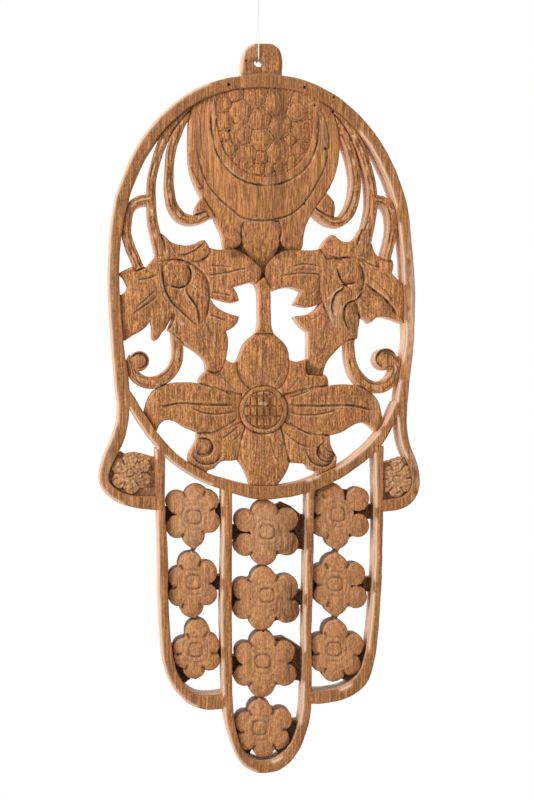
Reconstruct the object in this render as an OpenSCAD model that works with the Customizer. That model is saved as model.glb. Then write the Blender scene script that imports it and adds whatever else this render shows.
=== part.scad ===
// Hamsa hand wall ornament: one pierced board carved in relief, hung by a thread loop.
// X runs to the right, Z up and Y to the wall. The origin is where the hook bears, under the thread's knot.
// Outlines are drawn in a plane of X and of height above the tip of the middle finger.

/* [Board] */
// Thickness of the board, from its flat back to the front of its rim
board_t = 15; // [10:0.5:22]
// Width of the rim that draws the hand's outline
rim_w = 5; // [4:0.1:6]
// Width of the arc between the palm and the fingers
arc_w = 4.6; // [3.8:0.1:5.6]
// Width of the bars that frame the fingers
bar_w = 4.2; // [3.2:0.1:5]
// Thickness of the hanging tab
tab_t = 10; // [6:0.5:13]
// How far the tab's back lies in front of the board's back
tab_relief = 1.5; // [1:0.1:3]
// Diameter of the hole in the tab
hole_d = 3.8; // [3:0.1:5]
// Width of the worn edge round the hole
hole_wear = 0.5; // [0.2:0.1:1]

/* [Relief] */
// How far the flowers' highest points lie below the rim's front
flower_drop = 1.2; // [0.5:0.1:3]
// How far the leaves lie below the rim's front
leaf_drop = 1; // [0.5:0.1:3]
// How far the lotus's side petals lie below the rim's front
lotus_drop = 0.4; // [0.2:0.1:1]
// How far the vines lie below the rim's front
vine_drop = 1.4; // [0.5:0.1:3]
// How far the ground between the petals and the bars lies below the rim's front
ground_drop = 6; // [4:0.5:9]
// How far the ground of the thumbs lies below the rim's front
pad_drop = 3.5; // [2:0.1:6]
// Radius of the ball that crowns a lotus petal or a leaf
crown_r = 90; // [60:5:160]

/* [Rosettes] */
// Radius of the ball that crowns a rosette
flower_ball_r = 48; // [40:1:90]
// Width of the cuts that part the petals
petal_cut = 1.8; // [0.8:0.1:2.4]
// Radius of the boss in the middle of a rosette
boss_r = 2.8; // [2:0.1:4]
// How far a boss lies below the highest point of its petals
boss_sink = 0.8; // [0.2:0.1:1.6]
// Height of the low web that ties a rosette to its bars, at the notches on its two sides
web_h = 6; // [4:0.5:8]
// How far the web reaches into its petals
web_root = 2; // [1:0.5:3]

/* [Pomegranate] */
// Size of the seeds, as a share of the size that leaves a fine line between them
seed_share = 1; // [0.8:0.01:1.01]
// Radius of the ball that crowns a seed
seed_ball_r = 14; // [10:0.5:30]
// How far the seeds' highest points lie below the rim's front
seed_drop = 0.5; // [0.3:0.1:1]
// Width of the band under the seeds
crescent_w = 3.4; // [2.4:0.1:4]
// How far the seeds' bed lies below the rim's front
bed_drop = 2.4; // [2:0.1:5]
// Radius of the ball that crowns the husk
husk_ball_r = 240; // [180:5:320]

/* [Lotus] */
// Radius of the boss in the middle of the lotus
lotus_r = 9.8; // [8:0.1:11]
// Width of the ring round the boss
lotus_ring_w = 2.2; // [1.4:0.1:3]
// Width of a groove cut across the boss
hatch_w = 0.7; // [0.4:0.1:1.2]
// Distance between the upright grooves across the boss
hatch_step = 2.7; // [2:0.1:3.2]
// Distance between the level grooves across the boss
hatch_row_step = 4.2; // [3:0.1:4.4]
// Depth of the grooves across the boss
hatch_deep = 0.8; // [0.4:0.1:1.5]

/* [Vines] */
// Width of the vines
vine_w = 3.9; // [3:0.1:4.4]
// Width of the links that tie the vines to the rim and the leaves
link_w = 3.8; // [3:0.1:4.4]
// Width of the scrolls over the lotus
scroll_w = 4.6; // [3.6:0.1:5.2]
// Radius of the ball in a bell flower
bud_r = 5.8; // [5:0.1:6.4]

/* [Thread] */
// Diameter of the thread
thread_d = 0.5; // [0.3:0.05:0.8]
// Radius of the knot
knot_r = 1.5; // [1.2:0.1:2.2]
// Height of the knot
knot_h = 3; // [2:0.1:4]

/* [Hidden] */

// How far the middle of a petal cut lies under the crown's top
petal_cut_sink = 0.3;
// Where a petal cut begins, as a share of the way from the boss to the notch
cut_start = 0.72;
// Size of the round that fills a rosette between its petals, and of the one that a tip rises from, as shares of a petal
waist_share = 0.6;
tip_share = 0.8;
tip_r = 0.5;

// How far the second level groove across the lotus's boss lies over its middle
hatch_row_lift = 1.6;

// Facets of round forms, and straight pieces in each span of a smooth line
$fn = 96;
steps = 4;
crown_facets = 200;

// Facets of the balls that crown the seeds and the buds
seed_facets = 112;
bud_facets = 96;

// How far a cutting form stands out of what it cuts, and how far a worn edge's cone does
clear = 1;
sliver = 0.01;

// The board's front and back planes, and the height of the hook over the middle fingertip
front = -board_t / 2;
back = board_t / 2;
hook_z = 321;
hole = [-1.1, 292.2];
tab_back = back - tab_relief;
tab_front = tab_back - tab_t;

// Each path is a list of [x, height, share of the width]; the share is 1 where it isn't given
rim_path = [
    [-42, 110.9, 1.1], [-48, 111.2, 1.06], [-53, 111.8, 0.92], [-57.5, 113.1, 0.86], [-61.6, 115.7, 0.84],
    [-64.3, 119.2, 0.82], [-64.7, 123, 0.84], [-63.6, 127, 0.9], [-61.9, 131, 1.02], [-59.9, 135.2, 1.1],
    [-58.3, 139.5, 1.08], [-57.1, 144.8, 1.02], [-56.7, 150.5, 1.02], [-57, 156.5, 1.16], [-57.5, 162, 1.2],
    [-58.2, 168, 1.1], [-58.9, 174, 1.04], [-59.5, 181, 0.98], [-60.1, 189, 0.98], [-60.5, 197, 0.98],
    [-60.7, 205, 0.94], [-60.4, 213, 0.94], [-59.8, 220.5, 0.98], [-58.8, 228, 1.02], [-57.4, 234.5, 1.14],
    [-55.5, 240.5, 1.06], [-53.1, 246.7, 1.06], [-50.2, 252.9, 1.06], [-46.6, 259, 1.06], [-42.4, 264.6, 1.02],
    [-37.6, 269.6, 1.02], [-32.4, 273.9, 1.02], [-26.5, 277.8, 1.04], [-19.5, 280.8, 1.02], [-12, 282.8, 1.02],
    [-4, 283.8, 1.04], [4, 284, 1.04], [12, 283.3, 1.02], [19.5, 281.3, 1.02], [26.5, 278, 1.02],
    [32.5, 274.2], [38.1, 269.3], [43, 264], [47.5, 257.9], [51.2, 251.3], [54.3, 244.4],
    [56.6, 238, 1.02], [58.3, 231.5], [59.2, 225, 0.94], [60, 218, 0.9], [60.7, 210.5, 0.9], [61.1, 202.5, 0.96],
    [61.5, 194.5, 0.88], [61.4, 187, 0.86], [61.5, 180, 0.72], [60.9, 173.5, 0.76], [60, 167, 0.84],
    [59.1, 160.5, 0.88], [58.4, 154.5, 0.94], [58.1, 148.5, 0.88], [58.3, 143, 0.78], [58.9, 138, 0.74],
    [60.1, 133, 0.72], [61.9, 129, 0.7], [63.3, 125.2, 0.66], [64, 121.3, 0.62], [64, 117.6, 0.62],
    [62.7, 114.2, 0.72], [59.8, 111.4, 0.88], [55.5, 109.9, 0.96], [49, 109.4]
];
arc_path = [
    [-56.6, 157, 0.9], [-53, 151.7, 0.9], [-49.6, 146, 0.92], [-45.7, 140.2, 0.92], [-41.7, 135.2, 0.9],
    [-37.8, 131, 0.9], [-33.3, 127.2, 0.9], [-28.3, 123.9, 0.94], [-22, 120.7, 0.94], [-15, 118.4, 0.98],
    [-8, 116.2, 1.1], [0, 114.9, 1.2], [8, 115.4, 1.14], [15, 116.6, 1.12], [21, 118.4, 1.2], [27, 120.9, 1.14],
    [32.4, 123.5, 1.02], [38, 127.1], [43.4, 131.4], [48, 136], [51.6, 141.2, 0.86], [54.3, 146.4, 0.8],
    [57, 152, 0.8]
];
left_frame_path = [
    [-41.8, 133.5], [-41.7, 126], [-41.6, 115, 0.86], [-41.3, 105, 0.84], [-40.8, 95, 0.98], [-40.5, 85, 1.04],
    [-40.5, 75], [-40.1, 65], [-39.5, 56, 1.02], [-38.6, 48, 1.1], [-36.7, 40.9, 1.06], [-32.9, 34.6, 1.04],
    [-27.8, 30.6, 1.2], [-22, 29.3, 1.42], [-14, 30, 1.46]
];
middle_frame_path = [
    [-14.4, 119], [-14.4, 108, 1.06], [-14.3, 96, 0.98], [-14.5, 84, 1.04], [-14.7, 72, 1.1], [-14.6, 60, 1.1],
    [-14.4, 48, 1.02], [-14.3, 38], [-14, 30, 0.98], [-13.5, 24, 0.94], [-12.5, 18, 0.86], [-11, 12.7, 0.8],
    [-9, 8.2, 0.86], [-5.9, 4.7, 1.04], [-2, 2.7, 1.12], [2, 2.4, 1.1], [6, 3.2, 1.14], [10, 5.7, 1.06],
    [13.3, 9.7, 0.96], [15.8, 14.6, 0.86], [17.4, 20, 0.94], [18.3, 26, 0.96], [18.6, 33, 0.94],
    [18.8, 42, 0.84], [18.8, 52, 0.76], [19, 64, 0.82], [19.3, 76, 0.84], [19.6, 88, 0.82], [19.8, 100, 0.78],
    [20, 110, 0.76], [20.1, 120, 0.8]
];
right_frame_path = [
    [48.4, 134], [48.5, 124, 0.86], [48.6, 114, 0.84], [48.6, 104, 0.8], [48.4, 94, 0.76], [48.2, 84, 0.78],
    [47.7, 74, 0.82], [47.1, 65, 0.84], [46.4, 57, 0.88], [45.6, 50, 0.88], [44.4, 44.6, 0.92],
    [42.3, 38.9, 1.1], [38.6, 34.8, 1.14], [33.4, 32.1, 1.12], [28, 31, 1.18], [23, 30.6, 1.24], [18, 30.8, 1.2]
];
// The sides of the middle finger's frame, and the bars to the right and to the left of each finger's rosettes
middle_left_bar = [for (p = middle_frame_path) if (p[0] < 0) p];
middle_right_bar = [for (p = middle_frame_path) if (p[0] > 0) p];
left_bars = [middle_left_bar, left_frame_path];
middle_bars = [middle_right_bar, middle_left_bar];
right_bars = [right_frame_path, middle_right_bar];
left_vine_path = [
    [-24, 277.4, 0.7], [-29.5, 273.6, 0.8], [-34.6, 268.8, 0.94], [-38.4, 263.4], [-41.2, 257.4, 0.98],
    [-43.2, 251, 0.96], [-44.7, 245, 0.98], [-45.2, 239, 0.92], [-45.1, 232, 0.96], [-44.6, 226, 1.02],
    [-43.5, 221, 1.1], [-42.2, 216.5, 1.2], [-41.4, 212, 1.1]
];
right_vine_path = [
    [24.5, 277, 0.7], [30, 273.2, 0.8], [34.6, 268.6, 0.9], [38.2, 263, 0.94], [41.2, 257.2],
    [43.4, 251], [45, 245.2], [46, 239, 1.08], [46, 233, 1.1], [45.1, 227, 1.14], [43.7, 221.5, 1.3],
    [42.4, 216, 1.5], [42, 212.5, 1.4]
];
left_link_path = [
    [-45, 235.4], [-50, 234.7], [-53, 232.8], [-54.6, 229], [-55.2, 224.5], [-55.2, 220.5], [-54, 216.4],
    [-52.3, 212.3], [-49.8, 206.5]
];
right_link_path = [
    [46, 236.2], [50.8, 235.3], [53.4, 232.5], [54.5, 228], [54.6, 223.5], [53.8, 219], [52.5, 214.3],
    [51.6, 211]
];
left_tendril_path = [
    [-28.5, 272.3, 0.7], [-31.8, 268.8, 0.9], [-34.2, 264, 1.06], [-36.2, 258.5, 1.02], [-37.4, 252.6, 0.94],
    [-37.8, 247, 0.88], [-37.9, 241, 0.98], [-37.2, 235.5, 1.04], [-35.6, 231.2, 1.08], [-33, 228.3, 1.06],
    [-29.5, 227.1, 0.96], [-26, 227.5, 0.9], [-22, 229.2, 0.8]
];
right_tendril_path = [
    [29.3, 271.3, 0.7], [32.3, 266.3, 0.94], [35, 260.8, 1.04], [37.1, 255.3], [38.5, 250, 1.02],
    [39.2, 245], [39.2, 241, 1.1], [38.7, 237, 1.1], [37.5, 233, 1.16], [35.7, 229.6, 1.18], [33.3, 227.3, 1.12],
    [30.3, 226.8, 0.98], [27.2, 227.5, 0.86], [24.3, 229.2, 0.7], [21.5, 231.5, 0.6]
];
left_scroll_path = [
    [-35, 181], [-34.6, 176.5], [-34.4, 172.2, 1.02], [-35, 168.5, 1.02], [-36.8, 165, 1.04],
    [-39.7, 162.2, 1.08], [-43.5, 160.4, 1.12], [-47.5, 160.4, 1.06], [-51, 162.3], [-53.1, 165.2, 0.94],
    [-53.6, 168.2, 0.88], [-52.6, 170.9, 0.8]
];
right_scroll_path = [
    [37.2, 181, 0.86], [36.7, 176.5, 0.82], [37, 171.8, 0.84], [37.8, 167.6, 0.88], [39.4, 163.8],
    [42, 160.7, 1.08], [45.6, 158.6, 1.12], [49.6, 158.4, 1.04], [53, 160, 0.98], [55.4, 163, 0.98],
    [56.2, 167, 0.96], [55.2, 170.9, 0.84]
];
left_scroll_ball = [-50.2, 169.1, 4.1];
right_scroll_ball = [51.7, 170, 4.6];

// Each outline is a list of [x, height], with a third value of 1 at a sharp corner
tab_line = [
    [-8.2, 284, 1], [-8.4, 290.2], [-7.8, 294.6], [-5.9, 298.3], [-3.2, 300, 1], [4.6, 300, 1], [7.4, 298],
    [8.7, 294], [8.8, 289.6], [8.3, 284, 1]
];
husk_line = [
    [0, 284, 1], [-27, 279, 1], [-29.6, 270], [-30.1, 262], [-30.1, 254.5], [-29.2, 247], [-26.8, 240.6],
    [-23.7, 235.4], [-20.6, 230.4], [-18.2, 225.4], [-16.2, 220.6], [-15.6, 216.6], [-14.2, 214.9], [-11, 215.2],
    [-9, 216.6], [-7.9, 219.4, 1], [-6, 221, 1], [6, 221, 1], [7.8, 219.6, 1], [9, 216.9], [11.2, 215.2],
    [14.5, 214.7], [17, 215.6], [17.6, 220.4], [19, 226], [21.5, 230.7], [24.6, 235.2], [28.2, 240.6], [31, 247.5],
    [32.4, 255.5], [32.2, 263.5], [30.4, 270], [27, 279, 1]
];
calyx_ground = [
    [-12, 219], [13, 219], [7, 210], [3.2, 206], [3.2, 200], [-1.8, 200], [-1.6, 206], [-6, 209]
];
calyx_line = [
    [-7.6, 226, 1], [-8.3, 222.6], [-7.9, 219.4], [-6.9, 215.6], [-4.9, 212.1], [-2.3, 209.2], [0.5, 206.8, 1],
    [3.2, 209.6], [5.5, 212.6], [7, 216], [7.8, 219.6], [8.2, 223], [7.6, 226.4, 1], [3, 227.2], [-3, 227]
];
crescent_path = [
    [-20.2, 276, 0.6], [-19.7, 270, 0.7], [-19.2, 263, 0.78], [-17.6, 256.6, 0.9], [-14.6, 251], [-10.4, 246.7],
    [-5.2, 244, 1.02], [0.6, 243, 1.04], [6.6, 243.5, 1.02], [12.3, 245.9], [16.9, 249.6, 0.96],
    [20.2, 254.8, 0.86], [21.9, 261, 0.76], [22.5, 268, 0.7], [21.8, 275, 0.6]
];
seed_line = [
    [-21, 282, 1], [-20.2, 276, 1], [-19.7, 270], [-19.2, 263], [-17.6, 256.6], [-14.6, 251], [-10.4, 246.7],
    [-5.2, 244], [0.6, 243], [6.6, 243.5], [12.3, 245.9], [16.9, 249.6], [20.2, 254.8], [21.9, 261],
    [22.5, 268], [21.8, 275, 1], [21.5, 282, 1]
];
// Each seed is [x, height, radius]
seeds = [
    [-2.3, 277.1, 3.9], [6, 275, 4.3], [-8.9, 271.5, 4.2], [-0.7, 268.6, 4], [7.6, 265.6, 4.1],
    [15, 271.8, 3.6], [16.4, 263.8, 3.8], [-8.9, 261.6, 4.1], [0.1, 260, 4.1], [7.3, 255, 4.5],
    [-15.6, 267.2, 3], [-6.3, 253.9, 3.8], [-13.7, 256, 2.7], [-14.8, 261.4, 1.6], [-0.4, 252.8, 2],
    [12.1, 259.8, 1.8], [15.6, 256.6, 2.6], [12.6, 251.9, 1.4], [-0.9, 247.5, 2], [3.1, 247.5, 1.7],
    [7.1, 248.6, 1.5], [-15.4, 274.6, 2.7], [-11.1, 278.4, 2.5]
];
left_curl_leaf_line = [
    [-19.5, 228.3, 1], [-23.5, 228], [-27.4, 228.7, 1], [-27.5, 231.4], [-26, 234.7], [-24, 236.3, 1],
    [-20, 236, 1]
];
right_curl_leaf_line = [
    [20.5, 232.3, 1], [24, 229.3], [27.2, 227.6], [30, 228.4, 1], [30.4, 231.8], [30, 234.8],
    [28.8, 236.4], [27, 238.4, 1], [23, 238, 1]
];
left_sepal_line = [
    [-43, 222, 1], [-40.2, 220.7], [-37.6, 218.2], [-34.8, 216.8], [-31, 216.4], [-27.6, 217.2], [-25.2, 218.4],
    [-23.5, 218.7, 1], [-21.8, 216.6], [-20.9, 213.6, 1], [-24, 210.8], [-29, 209.9], [-34, 210.9],
    [-38.5, 210.6], [-43, 209.5, 1]
];
right_sepal_line = [
    [44, 226, 1], [41.2, 223.6], [39, 220.4], [36.6, 218.7], [34.2, 218.5], [31.8, 219.6], [30.2, 221],
    [28.6, 221.3, 1], [26.9, 219.8], [25.4, 217.3], [24.4, 215.4, 1], [27, 211.5, 1], [31, 211.9], [36, 212.4],
    [40, 211.5], [45, 211, 1]
];
left_inner_leaf_line = [
    [-21.5, 215.6, 1], [-18, 214.8], [-14, 215.2], [-10.4, 214.8], [-7, 213], [-3, 210.3], [0, 208.5, 1],
    [-0.1, 205], [-0.8, 202.6], [-2.2, 200.9, 1], [-4.4, 201.7], [-7.8, 200.8], [-11.7, 199.4, 1],
    [-10.2, 197], [-9.2, 194, 1], [-12.4, 193.3], [-16.6, 194.3], [-21.6, 195.6, 1], [-27, 198.5],
    [-32, 202, 1], [-32.5, 208, 1], [-31, 213, 1], [-24, 214, 1]
];
right_inner_leaf_line = [
    [24.5, 215.6, 1], [21, 214.8], [15, 214.9], [9.6, 214.6], [6, 212.8], [2.8, 209.6, 1], [1.9, 206.6],
    [1.9, 203.4], [2.6, 200.4], [5.4, 198.3, 1], [8.6, 199.4], [12, 199.7], [16.6, 198.2, 1], [15.2, 195.6],
    [13.4, 192.7, 1], [17, 191.8], [20.6, 191.7], [24.6, 192.9, 1], [28.5, 196.5],
    [34, 201, 1], [35, 208, 1], [33.5, 213.5, 1], [27, 214, 1]
];
left_long_leaf_line = [
    [-21.6, 195.6, 1], [-19, 191.7], [-14.4, 189], [-9.2, 187.5, 1], [-9.9, 185], [-12, 182.7],
    [-14.6, 181.3, 1], [-13.7, 178.4], [-13.8, 174.4], [-14.7, 169.4, 1], [-16.4, 165.4], [-19.5, 163.9],
    [-22.7, 165.1, 1], [-23.3, 169], [-26.8, 172.6], [-31.4, 175.6, 1], [-35, 179], [-38.6, 182, 1],
    [-36.6, 187], [-35.5, 193], [-34, 199], [-29.5, 201.5], [-25, 199.5]
];
right_long_leaf_line = [
    [24.6, 192.9, 1], [22, 190], [18.6, 188.3], [13.6, 187.6, 1], [15, 185.4], [17, 183.2], [19.3, 181.2, 1],
    [19.5, 176], [19.2, 170.5], [18.4, 164.4, 1], [22, 163.2], [25.6, 163, 1], [26.8, 168], [29.4, 171.8],
    [34.4, 176.8, 1], [37, 178], [39.9, 178.4, 1], [40.2, 182], [40.8, 186.4], [40, 193], [37, 199],
    [31, 201], [27, 198]
];
left_outer_leaf_line = [
    [-39.4, 182.2, 1], [-40.9, 180.6], [-42.1, 178.6], [-43.6, 177.3, 1], [-44.9, 178.2], [-45.1, 182],
    [-45.7, 185.7, 1], [-46.8, 183.8], [-49.4, 181.5], [-52.6, 179.7], [-55.6, 177.7, 1], [-59, 177, 1],
    [-59, 196, 1], [-57.2, 196.2], [-55.8, 197.6], [-55, 199.6, 1], [-56, 201.8], [-57, 203.4],
    [-58.6, 204.8, 1], [-55.6, 206.4], [-52.6, 207.7], [-50, 207.7], [-47.4, 207.4, 1], [-45.4, 209.8],
    [-43.2, 212.4, 1], [-38, 212], [-34, 206], [-34, 198], [-36, 189]
];
right_outer_leaf_line = [
    [40.8, 186.4, 1], [42, 187.5], [43.6, 186.6], [45.2, 185, 1], [46.6, 186.2], [48.6, 187.5], [51.6, 187.5],
    [55, 186.5], [58.8, 185.1, 1], [62, 185, 1], [62, 200, 1], [58.2, 201.7], [56.2, 203.5], [54.2, 205.6, 1],
    [54.9, 209], [54.2, 211.2], [50.4, 212.1], [48.2, 212.9], [46.8, 215.2], [46, 218, 1], [42, 217],
    [37, 210], [36, 200], [39, 192]
];
left_bud_spot = [-34.9, 204.9];
right_bud_spot = [37, 206.6];
stem_line = [
    [-2.4, 201, 1], [-1.3, 198], [-1.2, 190], [-1.3, 183.4], [-2.6, 180.4, 1], [5, 180.6, 1], [4.1, 183.6],
    [3.8, 190], [3.7, 198], [3.4, 201, 1], [1, 203.5, 1]
];
top_petal_line = [
    [-2.6, 180.4, 1], [-5.4, 178.2], [-7.6, 175.2], [-8.8, 171.8], [-10.4, 168.6, 1], [-9.5, 163],
    [-5.5, 158], [0.8, 156], [7.5, 158], [11, 163.5], [11.6, 169.6, 1], [11.2, 173], [9.4, 176.4],
    [5, 180.6, 1]
];
left_lotus_sepal_line = [
    [-10.4, 168.6, 1], [-12.4, 168.5], [-14.8, 169.8, 1], [-17, 168], [-22.4, 165.4, 1], [-24.6, 163.5],
    [-25.8, 161.4], [-25.2, 158.5, 1], [-16, 153], [-4, 153, 1],
    [-5, 159, 1]
];
right_lotus_sepal_line = [
    [11.6, 169.6, 1], [14.4, 168.9], [18.6, 170, 1], [18.2, 166], [18.6, 163.2, 1], [22, 163.8],
    [25.6, 163.9, 1], [27.1, 162.4], [27.6, 159.6], [26.6, 157.5, 1], [18, 153], [5, 153, 1],
    [6, 159, 1]
];
left_petal_line = [
    [-8, 155.6, 1], [-13, 156.6], [-18, 157.6], [-25.2, 159.8], [-30, 160.4], [-36.2, 160.2], [-41, 159],
    [-44.8, 156.6], [-46.6, 153.6], [-47.8, 150], [-48.6, 147, 1], [-46, 140, 1], [-42.9, 140.6, 1],
    [-41.8, 143], [-39.6, 144.7], [-36, 144.4], [-32, 142], [-26.6, 139.6, 1], [-18, 140], [-8, 144, 1]
];
right_petal_line = [
    [9, 155.6, 1], [14, 156.6], [20, 158], [27.6, 159], [32, 159.5], [37.6, 159.4], [41.6, 158.4],
    [46.3, 155.5], [48.8, 152.2], [50, 148.4], [50.6, 144.6, 1], [50, 140, 1], [47.4, 140.3, 1],
    [45.6, 142.3], [42, 143.9], [38.4, 142.9], [33.6, 140], [28.3, 138.4, 1], [19, 139.5], [9, 144, 1]
];
left_curl_line = [
    [-26.6, 139.6, 1], [-26.8, 136.6], [-28.6, 133.4], [-30.1, 130], [-29.6, 126.4], [-28, 124, 1],
    [-22, 121, 1], [-22.4, 123.9], [-19.6, 125], [-17, 127.6], [-14.8, 128.1], [-12.4, 128.2],
    [-9.9, 128.6, 1], [-4, 138, 1], [-9, 145, 1], [-17, 142.5]
];
right_curl_line = [
    [28.3, 138.4, 1], [28.4, 135.8], [29.6, 132.4], [31.2, 129.6], [31.2, 127], [30, 122, 1], [22, 120, 1],
    [23, 123.2], [20.4, 124], [18.4, 126.5], [15, 127], [11.7, 127.3, 1], [6, 138, 1], [10, 145, 1],
    [18, 141.5]
];
bottom_petal_line = [
    [-6.6, 142, 1], [-8.6, 136], [-9.9, 128.6, 1], [-7.6, 125.4], [-5.8, 121.8], [-4.2, 117, 1], [0, 114, 1],
    [5.8, 117.4, 1], [8.4, 120.2], [10.6, 123.8], [11.7, 127.3, 1], [9.6, 135.5], [8, 142, 1]
];
boss_spot = [0.8, 149];
left_pad_line = [
    [-61.9, 131, 1], [-57.4, 132, 1], [-55.4, 130.8], [-52.6, 131.7], [-50, 131.3], [-44.6, 129.8, 1],
    [-41.6, 129.2, 1], [-41.6, 111.2, 1], [-53, 111.8], [-57.5, 113.1], [-61.6, 115.7], [-64.3, 119.2],
    [-64.7, 123], [-63.6, 127]
];
right_pad_line = [
    [48.5, 110, 1], [48.5, 127, 1], [50.4, 126.8, 1], [53.6, 127.8], [56.4, 128.2], [58.6, 129.4, 1],
    [61.8, 129.2, 1], [63.3, 125.2], [64, 121.3], [64, 117.6], [62.7, 114.2], [59.8, 111.4], [55.5, 109.9]
];

// Where the ball that crowns each region touches its highest point, as [x, height]
fruit_crown = [1, 260];
left_sepal_crown = [-31, 214];
right_sepal_crown = [35, 216];
left_inner_leaf_crown = [-14, 205];
right_inner_leaf_crown = [16, 205];
left_long_leaf_crown = [-24, 184];
right_long_leaf_crown = [28, 184];
left_outer_leaf_crown = [-47, 195];
right_outer_leaf_crown = [50, 198];
lotus_top_petal_crown = [1, 168];
lotus_left_petal_crown = [-28, 150];
lotus_right_petal_crown = [29, 150];
lotus_bottom_petal_crown = [0.8, 132];
lotus_left_curl_crown = [-19, 134];
lotus_right_curl_crown = [20, 134];

// Each rosette: its boss; its petals as [x, height, radius], from the top round to the right; its two tips
left_rosettes = [
    [
        [-27.5, 105.1],
        [[-26.6, 113.4, 5.2], [-22.1, 111.6, 4.7], [-21.7, 103.2, 4.7], [-27.8, 97.2, 4.6], [-34.5, 101.1, 4.7],
            [-34.5, 111.2, 4.7]],
        [[-26.3, 118.2], [-27.8, 91.4]]
    ],
    [
        [-27.9, 78.5],
        [[-29.2, 85.6, 5.2], [-22.7, 82.4, 4.6], [-22.6, 73.2, 4.5], [-28.6, 68.6, 4.9], [-33.9, 72.9, 4.4],
            [-33.7, 80.3, 4.5]],
        [[-28.1, 90.9], [-27.1, 63.2]]
    ],
    [
        [-27, 50.7],
        [[-26.3, 57.9, 5.2], [-21.5, 52.5, 4.4], [-21.3, 46.3, 4.4], [-27.6, 43.2, 4.6], [-31.8, 47.6, 4.2],
            [-31.9, 51.2, 4.4]],
        [[-26, 63.2], [-27, 38.8]]
    ]
];
middle_rosettes = [
    [
        [2.3, 98.8],
        [[1.6, 106.3, 5.6], [10.4, 103.9, 4.9], [10.7, 93.8, 4.9], [1.2, 90.2, 5.4], [-6.6, 93.4, 4.6],
            [-6.4, 103.6, 4.5]],
        [[1.6, 111.7], [0.8, 84.9]]
    ],
    [
        [2.3, 72.8],
        [[0.9, 79.2, 5.4], [10.3, 76, 5.1], [10.8, 66.3, 5.3], [0.2, 63.4, 5.3], [-7.3, 67.2, 4.4],
            [-7.1, 75.3, 4.5]],
        [[0.8, 84.6], [0.9, 58.2]]
    ],
    [
        [0.8, 45.7],
        [[0.8, 52.7, 5.4], [9.3, 49.2, 4.7], [10, 39.8, 4.8], [0.3, 36, 5.6], [-7, 39.8, 4.4], [-6.4, 48.9, 4.4]],
        [[1.5, 57.9], [0.4, 30.4]]
    ],
    [
        [-0.8, 18.3],
        [[-0.6, 24.8, 5], [8.2, 21.3, 4.6], [7.3, 13.4, 4.4], [1, 10.7, 4.8], [-6, 13.4, 4.4], [-6.4, 20.4, 4.4]],
        [[-0.4, 30.1], [1, 6.4]]
    ]
];
right_rosettes = [
    [
        [31.6, 105.8],
        [[28.7, 113.5, 5.6], [40.3, 112.2, 4.8], [40.3, 101, 4.8], [31.5, 96.3, 4.9], [25.6, 101, 4.6],
            [25.6, 109.6, 4.6]],
        [[28, 118.7], [31.6, 90.4]]
    ],
    [
        [30.7, 77.2],
        [[30.6, 84.3, 5.4], [38.8, 81.2, 4.6], [39.6, 71.4, 4.6], [31, 68.9, 4.9], [26.1, 72.7, 4.5],
            [25.6, 80.8, 4.5]],
        [[31.5, 90.2], [31, 62.9]]
    ],
    [
        [30.2, 50.3],
        [[30.7, 56.9, 5.3], [38.4, 51.9, 4.5], [37, 43.8, 4.5], [30, 41.4, 4.9], [24.9, 45.3, 4.4],
            [24.9, 52, 4.4]],
        [[31.4, 62.7], [30, 36.8]]
    ]
];
left_thumb_rosette = [
    [-53.7, 123.2],
    [[-53.9, 128.1, 3.3], [-49.2, 126.2, 3.3], [-49, 120.6, 3.3], [-53.4, 118.2, 3.3], [-58.1, 120.4, 3.2],
        [-58.3, 126, 3.2]],
    [[-53.9, 131], [-53.4, 115.3]]
];
right_thumb_rosette = [
    [56.1, 120.4],
    [[56.4, 125.5, 3], [60.4, 123.3, 2.9], [60.3, 118, 2.9], [56, 115.6, 3], [52.2, 117.8, 2.8],
        [52.3, 123, 2.8]],
    [[56.6, 128.2], [56, 112.8]]
];

// The low corners between a rosette and the bar beside it
upper_corners = [[[6.5, 109.5], [8.8, 110.8], [12.6, 109.2], [16.9, 105.6], [19.4, 105.4],
    [19.4, 90.8], [14.5, 91.5], [10, 100]]];
lower_corners = [[[6, 54.6], [9.5, 55], [13.5, 52.8], [18.6, 49], [18.6, 36.6], [14, 37], [9, 45]]];
left_corners = [[[-37.2, 48], [-36.9, 41.5], [-33, 35.2], [-29, 38.2], [-29, 44]]];
right_corners = [[[44.8, 48], [44.2, 44.5], [42, 39.5], [38.2, 35.4], [33.5, 37.5], [34, 44]]];
tip_corners = [
    [[-12.6, 19], [-11.2, 13.2], [-9, 8.4], [-5.5, 4.8], [-3, 10], [-5, 17]],
    [[16.6, 17.5], [15.4, 14], [13, 9.8], [9.5, 5.6], [5, 9], [7, 17]]
];

// The thread's route as [y, z]: down from the knot, through the hole and up again behind the tab
thread_route = [
    [-0.4, 0], [-0.4, -0.8], [-0.7, -2.4], [-1.3, -5.2], [-2, -8.6], [-2.7, -12], [-3.5, -15.6], [-4.2, -18.8],
    [-4.5, -20.6], [-4.6, -22.4], [-4.6, -24.4], [-4.55, -26], [-4.2, -27.1], [-3.4, -27.5], [-2, -27.5],
    [0, -27.5], [2, -27.5], [4, -27.5], [5.6, -27.5], [6.3, -27.1], [6.6, -26], [6.6, -24.4], [6.6, -22.4],
    [6.5, -20.6], [6, -18.8], [5, -15.6], [3.9, -12], [2.8, -8.6], [1.8, -5.2], [0.9, -2.4], [0.4, -0.8],
    [0.4, 0]
];
thread_sides = 8;
thread_steps = 2;

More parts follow.
